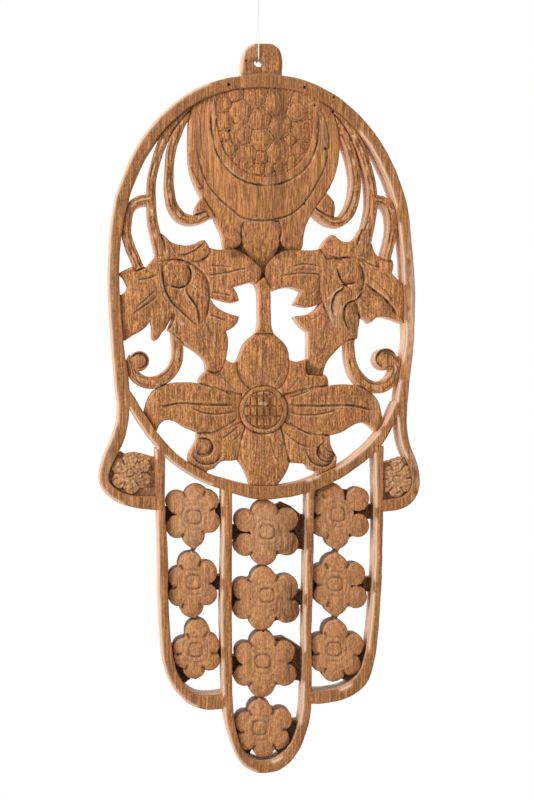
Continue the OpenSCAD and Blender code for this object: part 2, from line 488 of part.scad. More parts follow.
// Plane points, directions and smooth lines
function spot(p) = [p[0], p[1]];
function unit(v) = norm(v) == 0 ? v : v / norm(v);
function sharp(p) = len(p) > 2 && p[2] == 1;
function share(p) = len(p) > 2 ? p[2] : 1;
function between(a, b, ta, tb, t) =
    (2 * t ^ 3 - 3 * t ^ 2 + 1) * a + (t ^ 3 - 2 * t ^ 2 + t) * ta
    + (3 * t ^ 2 - 2 * t ^ 3) * b + (t ^ 3 - t ^ 2) * tb;

// The heading of a closed outline at its point i, towards point j when the point is sharp
function outline_way(p, i, j) =
    sharp(p[i]) ? 0 : let (n = len(p)) unit(spot(p[(i + 1) % n]) - spot(p[(i + n - 1) % n]));
function outline_span(p, i) =
    let (
        j = (i + 1) % len(p),
        a = spot(p[i]),
        b = spot(p[j]),
        ta = sharp(p[i]) ? b - a : outline_way(p, i, j) * norm(b - a),
        tb = sharp(p[j]) ? b - a : outline_way(p, j, i) * norm(b - a)
    )
    [for (k = [0:steps - 1]) between(a, b, ta, tb, k / steps)];
function outline_points(p) = [for (i = [0:len(p) - 1]) each outline_span(p, i)];

// The points of a smooth open path, each with its share of the width
function path_way(p, i) = unit(spot(p[min(i + 1, len(p) - 1)]) - spot(p[max(i - 1, 0)]));
function path_span(p, i, n) =
    let (a = spot(p[i]), b = spot(p[i + 1]), l = norm(b - a), sa = share(p[i]), sb = share(p[i + 1]))
    [for (k = [0:n - 1])
        let (t = k / n, q = between(a, b, path_way(p, i) * l, path_way(p, i + 1) * l, t))
        [q[0], q[1], sa + (sb - sa) * t]];
function path_points(p, n) =
    [for (i = [0:len(p) - 2]) each path_span(p, i, n), [p[len(p) - 1][0], p[len(p) - 1][1], share(p[len(p) - 1])]];
function beside(p, i, reach) =
    let (w = path_way(p, i)) spot(p[i]) + [-w[1], w[0]] * reach * p[i][2];

module outline(line) polygon(outline_points(line));

module band(path, width) {
    line = path_points(path, steps);
    last = len(line) - 1;
    polygon([
        for (i = [0:last]) beside(line, i, width / 2),
        for (i = [last:-1:0]) beside(line, i, -width / 2)
    ]);
}

// A flat drawing made a solid, from the board's back to a depth under the rim's front
module carved(drop = 0) {
    in_place() rotate([90, 0, 0]) translate([0, 0, -back]) linear_extrude(height = board_t - drop) children();
}

module in_place() translate([-hole[0], 0, -hook_z]) children();

// A ball whose nearest point lies at a depth under the rim's front
module ball_under(spot_xz, drop, r, facets = crown_facets) {
    in_place() translate([spot_xz[0], front + drop + r, spot_xz[1]]) sphere(r = r, $fn = facets);
}

module crowned(spot_xz, drop, r) {
    intersection() {
        carved() children();
        ball_under(spot_xz, drop, r);
    }
}

// The frame of the hand
module rim_face() band(rim_path, rim_w);

module arc_face() {
    difference() {
        band(arc_path, arc_w);
        rim_face();
    }
}

module middle_frame_face() {
    difference() {
        band(middle_frame_path, bar_w);
        arc_face();
    }
}

module left_frame_face() {
    difference() {
        band(left_frame_path, bar_w);
        rim_face();
        band(arc_path, arc_w);
        band(middle_frame_path, bar_w);
    }
}

module right_frame_face() {
    difference() {
        band(right_frame_path, bar_w);
        rim_face();
        band(arc_path, arc_w);
        band(middle_frame_path, bar_w);
    }
}

module frame_faces() {
    band(rim_path, rim_w);
    band(arc_path, arc_w);
    band(left_frame_path, bar_w);
    band(middle_frame_path, bar_w);
    band(right_frame_path, bar_w);
}

module outer_rim() color("peru") carved() rim_face();

module palm_arc() color("peru") carved() arc_face();

module left_finger_frame() color("peru") carved() left_frame_face();

module middle_finger_frame() color("peru") carved() middle_frame_face();

module right_finger_frame() color("peru") carved() right_frame_face();

module hanging_tab() {
    color("burlywood")
    difference() {
        in_place() rotate([90, 0, 0]) translate([0, 0, -tab_back]) linear_extrude(height = tab_t)
            difference() {
                outline(tab_line);
                rim_face();
            }
        in_place() translate([hole[0], tab_back + clear, hole[1]]) rotate([90, 0, 0])
            cylinder(h = tab_t + 2 * clear, d = hole_d);
        in_place() translate([hole[0], tab_front - sliver, hole[1]]) rotate([-90, 0, 0])
            cylinder(h = hole_wear, d1 = hole_d + 2 * hole_wear, d2 = hole_d);
        in_place() translate([hole[0], tab_back + sliver, hole[1]]) rotate([90, 0, 0])
            cylinder(h = hole_wear, d1 = hole_d + 2 * hole_wear, d2 = hole_d);
    }
}

// The flowers
module pointed_petal(petal, tip) {
    hull() {
        translate(spot(petal)) circle(r = tip_share * petal[2]);
        translate(tip) circle(r = tip_r);
    }
}

module flower_face(f) {
    for (petal = f[1]) translate(spot(petal)) circle(r = petal[2]);
    hull() for (petal = f[1]) translate(spot(petal)) circle(r = waist_share * petal[2]);
    pointed_petal(f[1][0], f[2][0]);
    pointed_petal(f[1][3], f[2][1]);
}

// Halfway between a petal's middle and the next one's
function notch(f, i) = (spot(f[1][i]) + spot(f[1][(i + 1) % len(f[1])])) / 2;

// The V cuts that part the petals, each running out through the notch between two of them
module petal_cuts(f, drop) {
    for (i = [0:len(f[1]) - 1])
        let (away = notch(f, i) - f[0])
            in_place() translate([f[0][0], front + drop, f[0][1]]) rotate([0, -atan2(away[1], away[0]), 0])
                translate([cut_start * norm(away), 0, 0]) rotate([45, 0, 0])
                    translate([0, -petal_cut / 2, -petal_cut / 2]) cube([norm(away), petal_cut, petal_cut]);
}

// Where the middle line of a bar stands at a height
function bar_x(bar, z) = lookup(z, [for (p = bar) [p[1], p[0]]]);

// A web from a notch to the middle line of the bar beside it
module web(place, bar, root) {
    ends = [place[0] - root, bar_x(bar, place[1])];
    translate([min(ends), place[1] - web_h / 2]) square([max(ends) - min(ends), web_h]);
}

module flower(f, others, bars, corners = []) {
    difference() {
        crowned(f[0], flower_drop, flower_ball_r) difference() {
            flower_face(f);
            frame_faces();
            for (o = others) flower_face(o);
        }
        petal_cuts(f, flower_drop + petal_cut_sink);
    }
    carved(ground_drop) difference() {
        union() {
            web(notch(f, 1), bars[0], web_root);
            web(notch(f, 4), bars[1], -web_root);
            for (c = corners) polygon(c);
        }
        frame_faces();
    }
    in_place() translate([f[0][0], back, f[0][1]]) rotate([90, 0, 0])
        cylinder(h = board_t - flower_drop - boss_sink, r = boss_r);
}

module left_rosette_1() color("sandybrown") flower(left_rosettes[0], [], left_bars);

module left_rosette_2() color("sandybrown") flower(left_rosettes[1], [left_rosettes[0]], left_bars);

module left_rosette_3() color("sandybrown")
    flower(left_rosettes[2], [left_rosettes[1]], left_bars, left_corners);

module middle_rosette_1() color("sandybrown") flower(middle_rosettes[0], [], middle_bars, upper_corners);

module middle_rosette_2() color("sandybrown") flower(middle_rosettes[1], [middle_rosettes[0]], middle_bars);

module middle_rosette_3() color("sandybrown")
    flower(middle_rosettes[2], [middle_rosettes[1]], middle_bars, lower_corners);

module middle_rosette_4() color("sandybrown")
    flower(middle_rosettes[3], [middle_rosettes[2]], middle_bars, tip_corners);

module right_rosette_1() color("sandybrown") flower(right_rosettes[0], [], right_bars);

module right_rosette_2() color("sandybrown") flower(right_rosettes[1], [right_rosettes[0]], right_bars);

module right_rosette_3() color("sandybrown")
    flower(right_rosettes[2], [right_rosettes[1]], right_bars, right_corners);

// A thumb: its ground, and a small rosette that rises from it
module thumb(line, f) {
    carved(pad_drop) difference() {
        outline(line);
        frame_faces();
    }
    crowned(f[0], flower_drop, flower_ball_r) difference() {
        flower_face(f);
        frame_faces();
    }
}

module left_thumb() color("sandybrown") thumb(left_pad_line, left_thumb_rosette);

module right_thumb() color("sandybrown") thumb(right_pad_line, right_thumb_rosette);

// The pomegranate
module husk_face() {
    difference() {
        outline(husk_line);
        rim_face();
        calyx_face();
    }
}

module bed_face() {
    difference() {
        outline(seed_line);
        band(crescent_path, crescent_w);
    }
}

module pomegranate_husk() {
    color("chocolate") {
        crowned(fruit_crown, 0, husk_ball_r) difference() {
            husk_face();
            outline(seed_line);
            band(crescent_path, crescent_w);
        }
        carved(bed_drop) difference() {
            bed_face();
            rim_face();
        }
    }
}

module pomegranate_crescent() {
    color("tan") crowned(fruit_crown, 0, husk_ball_r) difference() {
        band(crescent_path, crescent_w);
        rim_face();
    }
}

module pomegranate_seeds() {
    color("brown")
    for (s = seeds)
        intersection() {
            in_place() rotate([90, 0, 0]) translate([0, 0, -front - bed_drop]) linear_extrude(height = bed_drop)
                difference() {
                    translate(spot(s)) circle(r = seed_share * s[2]);
                    rim_face();
                    band(crescent_path, crescent_w);
                }
            ball_under(spot(s), seed_drop, seed_ball_r, seed_facets);
        }
}

module calyx_face() outline(calyx_line);

module pomegranate_calyx() {
    color("chocolate") {
        crowned(fruit_crown, 0, husk_ball_r) calyx_face();
        carved(ground_drop) difference() {
            polygon(calyx_ground);
            outline(husk_line);
            calyx_face();
            outline(left_inner_leaf_line);
            outline(right_inner_leaf_line);
            outline(stem_line);
        }
    }
}

// The vines, their tendrils and the small leaves at the tendrils' ends
module tied_vine(path, link) {
    difference() {
        union() {
            band(path, vine_w);
            band(link, link_w);
        }
        rim_face();
        outline(husk_line);
    }
}

module left_vine() color("tan") carved(vine_drop) tied_vine(left_vine_path, left_link_path);

module right_vine() color("tan") carved(vine_drop) tied_vine(right_vine_path, right_link_path);

module tendril_face(path, vine_path) {
    difference() {
        band(path, vine_w);
        rim_face();
        outline(husk_line);
        band(vine_path, vine_w);
    }
}

module left_tendril() color("burlywood") carved(vine_drop) tendril_face(left_tendril_path, left_vine_path);

module right_tendril() color("burlywood") carved(vine_drop) tendril_face(right_tendril_path, right_vine_path);

module left_curled_leaf() {
    color("sienna") carved(leaf_drop) difference() {
        outline(left_curl_leaf_line);
        outline(husk_line);
        band(left_tendril_path, vine_w);
    }
}

module right_curled_leaf() {
    color("sienna") carved(leaf_drop) difference() {
        outline(right_curl_leaf_line);
        outline(husk_line);
        band(right_tendril_path, vine_w);
    }
}

// The leaves round each bell flower; each leaf is cut back by those that lie over it
module left_vines() {
    band(left_vine_path, vine_w);
    band(left_link_path, link_w);
}

module right_vines() {
    band(right_vine_path, vine_w);
    band(right_link_path, link_w);
}

module left_sepal() {
    color("sienna") crowned(left_sepal_crown, leaf_drop, crown_r) difference() {
        outline(left_sepal_line);
        left_vines();
        translate(left_bud_spot) circle(r = bud_r);
    }
}

module right_sepal() {
    color("sienna") crowned(right_sepal_crown, leaf_drop, crown_r) difference() {
        outline(right_sepal_line);
        right_vines();
        translate(right_bud_spot) circle(r = bud_r);
    }
}

module left_inner_leaf() {
    color("peru") crowned(left_inner_leaf_crown, leaf_drop, crown_r) difference() {
        outline(left_inner_leaf_line);
        calyx_face();
        outline(husk_line);
        outline(left_sepal_line);
        translate(left_bud_spot) circle(r = bud_r);
    }
}

module right_inner_leaf() {
    color("peru") crowned(right_inner_leaf_crown, leaf_drop, crown_r) difference() {
        outline(right_inner_leaf_line);
        calyx_face();
        outline(husk_line);
        outline(right_sepal_line);
        translate(right_bud_spot) circle(r = bud_r);
    }
}

module left_long_leaf() {
    color("burlywood") crowned(left_long_leaf_crown, leaf_drop, crown_r) difference() {
        outline(left_long_leaf_line);
        outline(left_inner_leaf_line);
        translate(left_bud_spot) circle(r = bud_r);
    }
}

module right_long_leaf() {
    color("burlywood") crowned(right_long_leaf_crown, leaf_drop, crown_r) difference() {
        outline(right_long_leaf_line);
        outline(right_inner_leaf_line);
        translate(right_bud_spot) circle(r = bud_r);
    }
}

module left_outer_leaf() {
    color("chocolate") crowned(left_outer_leaf_crown, leaf_drop, crown_r) difference() {
        outline(left_outer_leaf_line);
        rim_face();
        left_vines();
        outline(left_sepal_line);
        outline(left_long_leaf_line);
        outline(left_inner_leaf_line);
        translate(left_bud_spot) circle(r = bud_r);
    }
}

module right_outer_leaf() {
    color("chocolate") crowned(right_outer_leaf_crown, leaf_drop, crown_r) difference() {
        outline(right_outer_leaf_line);
        rim_face();
        right_vines();
        outline(right_sepal_line);
        outline(right_long_leaf_line);
        outline(right_inner_leaf_line);
        translate(right_bud_spot) circle(r = bud_r);
    }
}

module bud(bud_spot) {
    intersection() {
        carved() translate(bud_spot) circle(r = bud_r);
        ball_under(bud_spot, leaf_drop, 2 * bud_r, bud_facets);
    }
}

module left_bud() color("tan") bud(left_bud_spot);

module right_bud() color("tan") bud(right_bud_spot);

// The scrolls over the lotus
module scroll_face(path, ball) {
    union() {
        band(path, scroll_w);
        translate([ball[0], ball[1]]) circle(r = ball[2]);
    }
}

module left_scroll() {
    color("tan") carved(vine_drop) difference() {
        scroll_face(left_scroll_path, left_scroll_ball);
        rim_face();
        outline(left_long_leaf_line);
        outline(left_petal_line);
    }
}

module right_scroll() {
    color("tan") carved(vine_drop) difference() {
        scroll_face(right_scroll_path, right_scroll_ball);
        rim_face();
        outline(right_long_leaf_line);
        outline(right_petal_line);
    }
}

// The lotus
module boss_face() translate(boss_spot) circle(r = lotus_r);

module lotus_stem() {
    color("burlywood") carved(leaf_drop) difference() {
        outline(stem_line);
        calyx_face();
        outline(left_inner_leaf_line);
        outline(right_inner_leaf_line);
        outline(top_petal_line);
    }
}

module lotus_top_petal() {
    color("peru") crowned(lotus_top_petal_crown, leaf_drop, crown_r) difference() {
        outline(top_petal_line);
        boss_face();
    }
}

module lotus_left_petal() {
    color("peru") crowned(lotus_left_petal_crown, lotus_drop, crown_r) difference() {
        outline(left_petal_line);
        boss_face();
        arc_face();
        outline(top_petal_line);
    }
}

module lotus_right_petal() {
    color("peru") crowned(lotus_right_petal_crown, lotus_drop, crown_r) difference() {
        outline(right_petal_line);
        boss_face();
        arc_face();
        outline(top_petal_line);
    }
}

module lotus_left_sepal() {
    color("sienna") carved(leaf_drop) difference() {
        outline(left_lotus_sepal_line);
        boss_face();
        outline(top_petal_line);
        outline(left_petal_line);
        outline(left_long_leaf_line);
    }
}

module lotus_right_sepal() {
    color("sienna") carved(leaf_drop) difference() {
        outline(right_lotus_sepal_line);
        boss_face();
        outline(top_petal_line);
        outline(right_petal_line);
        outline(right_long_leaf_line);
    }
}

module lotus_bottom_petal() {
    color("peru") crowned(lotus_bottom_petal_crown, leaf_drop, crown_r) difference() {
        outline(bottom_petal_line);
        boss_face();
        arc_face();
    }
}

module lotus_left_curl() {
    color("chocolate") crowned(lotus_left_curl_crown, leaf_drop, crown_r) difference() {
        outline(left_curl_line);
        boss_face();
        arc_face();
        outline(left_petal_line);
        outline(bottom_petal_line);
    }
}

module lotus_right_curl() {
    color("chocolate") crowned(lotus_right_curl_crown, leaf_drop, crown_r) difference() {
        outline(right_curl_line);
        boss_face();
        arc_face();
        outline(right_petal_line);
        outline(bottom_petal_line);
    }
}

module boss_groove(turn, away, reach) {
    in_place() translate([boss_spot[0], front + leaf_drop, boss_spot[1]]) rotate([0, turn, 0])
        translate([-reach, -clear, away - hatch_w / 2]) cube([2 * reach, clear + hatch_deep, hatch_w]);
}

module lotus_boss() {
    inner_r = lotus_r - lotus_ring_w;
    color("sandybrown") {
        carved(leaf_drop) difference() {
            boss_face();
            translate(boss_spot) circle(r = inner_r);
        }
        difference() {
            carved(leaf_drop) translate(boss_spot) circle(r = inner_r);
            for (k = [-2:2]) boss_groove(90, k * hatch_step, inner_r);
            for (k = [-2:1]) boss_groove(0, hatch_row_lift + k * hatch_row_step, inner_r);
        }
    }
}

// The thread loop and its knot
function ring(p, i) =
    let (w = path_way(p, i), side = [-w[1], w[0]])
    [for (k = [0:thread_sides - 1])
        let (a = 360 * k / thread_sides, q = spot(p[i]) + side * cos(a) * thread_d / 2)
        [sin(a) * thread_d / 2, q[0], q[1]]];

module hanging_thread() {
    line = path_points(thread_route, thread_steps);
    rings = len(line);
    n = thread_sides;
    color("white") polyhedron(
        points = [for (i = [0:rings - 1]) each ring(line, i)],
        faces = [
            [for (k = [0:n - 1]) k],
            for (i = [0:rings - 2], k = [0:n - 1])
                each let (a = i * n + k, b = i * n + (k + 1) % n) [[b, a, a + n], [b, a + n, b + n]],
            [for (k = [n - 1:-1:0]) (rings - 1) * n + k]
        ]
    );
}

module thread_knot() {
    color("white") rotate_extrude()
        polygon([
            [0, 0], [0.75 * knot_r, 0], [0.95 * knot_r, 0.12 * knot_h], [knot_r, 0.35 * knot_h],
            [knot_r, 0.65 * knot_h], [0.9 * knot_r, 0.85 * knot_h], [0.6 * knot_r, knot_h], [0, knot_h]
        ]);
}

outer_rim();
hanging_tab();
palm_arc();
left_finger_frame();
middle_finger_frame();
right_finger_frame();
left_thumb();
right_thumb();
pomegranate_husk();
pomegranate_crescent();
pomegranate_seeds();
pomegranate_calyx();
left_vine();
right_vine();
left_tendril();
right_tendril();
left_curled_leaf();
right_curled_leaf();
left_sepal();
right_sepal();
left_inner_leaf();
right_inner_leaf();
left_long_leaf();
right_long_leaf();
left_outer_leaf();
right_outer_leaf();
left_bud();
right_bud();
left_scroll();
right_scroll();
lotus_stem();
lotus_top_petal();
lotus_left_sepal();
lotus_right_sepal();
lotus_left_petal();
lotus_right_petal();
lotus_left_curl();
lotus_right_curl();
lotus_bottom_petal();
lotus_boss();
left_rosette_1();
left_rosette_2();
left_rosette_3();
middle_rosette_1();
middle_rosette_2();
middle_rosette_3();
middle_rosette_4();
right_rosette_1();
right_rosette_2();
right_rosette_3();
hanging_thread();
thread_knot();
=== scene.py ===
import math

import bpy
import numpy as np
from bpy.props import FloatProperty, IntProperty, PointerProperty
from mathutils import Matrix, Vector, kdtree
from mathutils.bvhtree import BVHTree
from mathutils.geometry import delaunay_2d_cdt


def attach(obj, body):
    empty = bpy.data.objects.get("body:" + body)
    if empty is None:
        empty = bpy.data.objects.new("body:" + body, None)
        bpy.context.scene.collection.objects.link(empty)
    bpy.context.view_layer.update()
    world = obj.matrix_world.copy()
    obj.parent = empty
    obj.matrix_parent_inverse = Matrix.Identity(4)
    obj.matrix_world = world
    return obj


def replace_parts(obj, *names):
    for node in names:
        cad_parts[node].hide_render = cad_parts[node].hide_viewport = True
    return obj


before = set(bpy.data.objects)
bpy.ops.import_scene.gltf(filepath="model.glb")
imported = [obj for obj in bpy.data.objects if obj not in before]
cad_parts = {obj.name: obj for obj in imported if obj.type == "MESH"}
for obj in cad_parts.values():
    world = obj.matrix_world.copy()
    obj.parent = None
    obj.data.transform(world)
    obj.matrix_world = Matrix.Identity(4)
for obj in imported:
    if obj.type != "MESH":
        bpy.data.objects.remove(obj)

bl_info = {
    "name": "Carved Hand Ornament",
    "version": (1, 0, 0),
    "blender": (4, 5, 0),
    "location": "3D View > Sidebar > Hand Ornament",
    "description": "Carves the wooden hand ornament over its frame and hangs it on its thread",
    "category": "Object",
}

# Plane coordinates are millimetres: x to the right of the middle finger's line, height above its tip.
PLANE_SHIFT = 1.1
HOOK_HEIGHT = 321.0
FRONT_Y = -7.5

# Lines of sight start this far in front, and run straight back.
SIGHT_START = -50.0
SIGHT = Vector((0.0, 1.0, 0.0))

# Rows of mesh points, in millimetres: those inside an outline with the distance that each keeps from it,
# those beside a fold, and those round a petal in its radii.
INNER_ROWS = ((0.15, 0.12), (0.42, 0.36))
FOLD_ROWS = (0.1, -0.1, -0.5)
PETAL_ROWS = (1.03, 1.09)
# Spacing along strokes and folds and along steps, and how far to a step's side its rows lie.
DETAIL_PITCH = 0.34
STEP_PITCH = 0.36
STEP_SIDE = 0.09
# How far from an outline the rows of strokes and steps and the grid keep, and the grid from those rows.
DETAIL_CLEAR = 0.2
STEP_CLEAR = 0.1
GRID_CLEAR = 0.58
GRID_DETAIL_CLEAR = 0.24
# Points of rows that share a square of this size are one point; the grid's points stray by this much.
MERGED = 0.14
GRID_STRAY = 0.03

# How often along an outline its neighbours are looked up, how far inside and outside it, the least step
# between fronts that aren't level, and how far in from its rim a region's own height is read.
EDGE_PITCH = 0.12
LOOK_IN = 0.14
LOOK_OUT = 0.16
LEVEL_STEP = 0.45
RIM_LOOK_IN = 0.07
# The farthest distance to an edge that makes a difference.
FAR = 3.0

# The map of the relief: its pitch, how many cells round a place count as near it, and its margin.
RELIEF_PITCH = 0.5
RELIEF_CELLS = 4
RELIEF_MARGIN = 3

# The side walls' rings of points, as shares of the way to the back, how much the middle ones stray, how far
# in the back's edge is rounded, and the thickness that the carving always leaves.
WALL_SHARES = (0.06, 0.3, 0.62, 0.96, 1.0)
RUFFLE_DEPTH = 0.05
BACK_TUCK = 0.25
LEAST_THICKNESS = 0.6

# A rosette's dome: the depth of its crown, its radius, a petal's fall, the boss's step and the gouge's
# ripples; then the depth that parts petals from ground, and the ground's.
CROWN_DEPTH = 1.2
DOME_RADIUS = 48.0
PETAL_FALL = 0.4
BOSS_STEP = 0.2
RIPPLE_HEIGHT = 0.06
RIPPLE_PITCH = 1.6
PETAL_FLOOR = 5.0
GROUND_DEPTH = 5.4
# A petal ends at this many of its radii, save the pointed ones near their middle line.
PETAL_END = 1.06
POINTED_PETALS = (0, 3)
POINT_HEADING = 0.94
POINT_START = 2.3

# The seeds' bed: the solid's depth that marks it, its lower end, the depth it is filled up to, the grooves
# round the seeds and their width. A gap that isn't between seeds counts as wide.
BED_DEPTH = 2.2
SEED_FLOOR = 240.0
BED_FILL = 1.15
BED_GROOVE = 0.45
BED_GROOVE_REACH = 0.4
WIDE_GAP = 9.0

# A bud keeps this share of its solid's relief, round this depth.
BUD_RELIEF = 0.3
BUD_DEPTH = 1.75

# A stroke of the V tool leaves its marks this far round it, and a painted highlight on its lower side, where
# the groove's upward-facing wall would catch the light.
STROKE_MARGIN = 1.6
HIGHLIGHT_SHIFT = (0.12, 0.45)
HIGHLIGHT_REACH = 0.3

# A fold of strength 1 falls this deep. Then the width of its rounded crest, the reach of the painted shade
# and of the painted haze at its foot and of the painted dark line on its upper side, and the painted
# highlight's distance from it and width.
FOLD_DEPTH = 1.5
CREST_WIDTH = 0.55
FOOT_SHADE = 0.55
FOOT_HAZE = 1.9
UPPER_SHADE_LINE = 0.22
CREST_HIGHLIGHT_PLACE = 0.5
CREST_HIGHLIGHT_WIDTH = 0.3

# The grooves beside a vine's edges: depth, distance from the edge and reach. Then the pale line's distance
# and reach.
VINE_GROOVE = 0.45
GROOVE_PLACE = 1.15
GROOVE_REACH = 0.34
VINE_LINE_PLACE = 1.75
VINE_LINE_REACH = 0.3

# How round a worn edge is, the depth and reach of the slope at a gouged edge, and a worm hole's depth.
EDGE_ROUNDNESS = 0.8
EDGE_SLOPE = 0.35
SLOPE_REACH = 0.9
HOLE_DEPTH = 1.2

# An outline that turns this much to the left is lit by the window.
LIT_TURN = 0.35

# Reach of the dirt and painted shade in a joint, of the painted shade at the foot of a higher region, of the
# dirt and painted shade round a seed, and of the orange line along an edge.
JOINT_DIRT_AND_SHADE = 0.36
FOOT_PAINTED_SHADE = 0.6
SEED_GROOVE_DIRT_AND_SHADE = 0.3
ORANGE_EDGE_REACH = 0.42
# Places deeper than the first of these under their surroundings get painted shade, and full painted shade at
# their sum.
DEEP_PAINTED_SHADE = 2.0
DEEP_PAINTED_SHADE_REACH = 2.8

# What is added to the seed for each random field, so that no two of them are alike.
(STRAY_ACROSS, STRAY_UP, UNEVEN, GROOVES, FINE_TOOL, BROAD_TOOL, CHATTER, LIPS,
 WOBBLE_ACROSS, WOBBLE_UP) = range(1, 11)
PITS, GAP_LIPS, STROKE_SHADE_PATCHES, RIPPLES, GROOVE_LIPS, THUMB_PITS, THUMB_CHIPS = range(12, 19)
RUFFLE = 20

# Each rosette: its boss, then its petals' middles and radii from the top round to the right.
ROSETTES = [
    ((-27.5, 105.1), [(-26.6, 113.4, 5.2), (-22.1, 111.6, 4.7), (-21.7, 103.2, 4.7), (-27.8, 97.2, 4.6),
        (-34.5, 101.1, 4.7), (-34.5, 111.2, 4.7)]),
    ((-27.9, 78.5), [(-29.2, 85.6, 5.2), (-22.7, 82.4, 4.6), (-22.6, 73.2, 4.5), (-28.6, 68.6, 4.9),
        (-33.9, 72.9, 4.4), (-33.7, 80.3, 4.5)]),
    ((-27, 50.7), [(-26.3, 57.9, 5.2), (-21.5, 52.5, 4.4), (-21.3, 46.3, 4.4), (-27.6, 43.2, 4.6),
        (-31.8, 47.6, 4.2), (-31.9, 51.2, 4.4)]),
    ((2.3, 98.8), [(1.6, 106.3, 5.6), (10.4, 103.9, 4.9), (10.7, 93.8, 4.9), (1.2, 90.2, 5.4),
        (-6.6, 93.4, 4.6), (-6.4, 103.6, 4.5)]),
    ((2.3, 72.8), [(0.9, 79.2, 5.4), (10.3, 76, 5.1), (10.8, 66.3, 5.3), (0.2, 63.4, 5.3),
        (-7.3, 67.2, 4.4), (-7.1, 75.3, 4.5)]),
    ((0.8, 45.7), [(0.8, 52.7, 5.4), (9.3, 49.2, 4.7), (10, 39.8, 4.8), (0.3, 36, 5.6), (-7, 39.8, 4.4),
        (-6.4, 48.9, 4.4)]),
    ((-0.8, 18.3), [(-0.6, 24.8, 5), (8.2, 21.3, 4.6), (7.3, 13.4, 4.4), (1, 10.7, 4.8), (-6, 13.4, 4.4),
        (-6.4, 20.4, 4.4)]),
    ((31.6, 105.8), [(28.7, 113.5, 5.6), (40.3, 112.2, 4.8), (40.3, 101, 4.8), (31.5, 96.3, 4.9),
        (25.6, 101, 4.6), (25.6, 109.6, 4.6)]),
    ((30.7, 77.2), [(30.6, 84.3, 5.4), (38.8, 81.2, 4.6), (39.6, 71.4, 4.6), (31, 68.9, 4.9),
        (26.1, 72.7, 4.5), (25.6, 80.8, 4.5)]),
    ((30.2, 50.3), [(30.7, 56.9, 5.3), (38.4, 51.9, 4.5), (37, 43.8, 4.5), (30, 41.4, 4.9),
        (24.9, 45.3, 4.4), (24.9, 52, 4.4)]),
]
THUMB_ROSETTES = [
    ((-53.7, 123.2), [(-53.9, 128.1, 3.3), (-49.2, 126.2, 3.3), (-49, 120.6, 3.3), (-53.4, 118.2, 3.3),
        (-58.1, 120.4, 3.2), (-58.3, 126, 3.2)]),
    ((56.1, 120.4), [(56.4, 125.5, 3), (60.4, 123.3, 2.9), (60.3, 118, 2.9), (56, 115.6, 3),
        (52.2, 117.8, 2.8), (52.3, 123, 2.8)]),
]
# The notches between petals: where they start and how far beyond the outline they reach, as shares of the
# way from the boss and in millimetres, then the stroke's width, depth and darkness.
NOTCHES = (1.14, 3.4, (1.9, 1.1, 0.7))
THUMB_NOTCHES = (0.9, 1.8, (1.0, 0.6, 0.8))
# Grooves in a ring: radius, squareness (2 is a circle), width, depth, darkness. The radius of those round
# a rosette's boss is a share of the boss's, and the lotus's ring has its middle before the rest.
BOSS_RADIUS = 3.0
BOSS_RINGS = ((0.92, 3.6, 1.5, 0.5, 0.5), (1.7, 3.0, 1.4, 0.25, 0.18))
THUMB_RING = (1.5, 2.6, 0.9, 0.4, 0.6)
LOTUS_RINGS = ((0.8, 149.0, 7.9, 2.0, 1.1, 0.5, 0.75),)
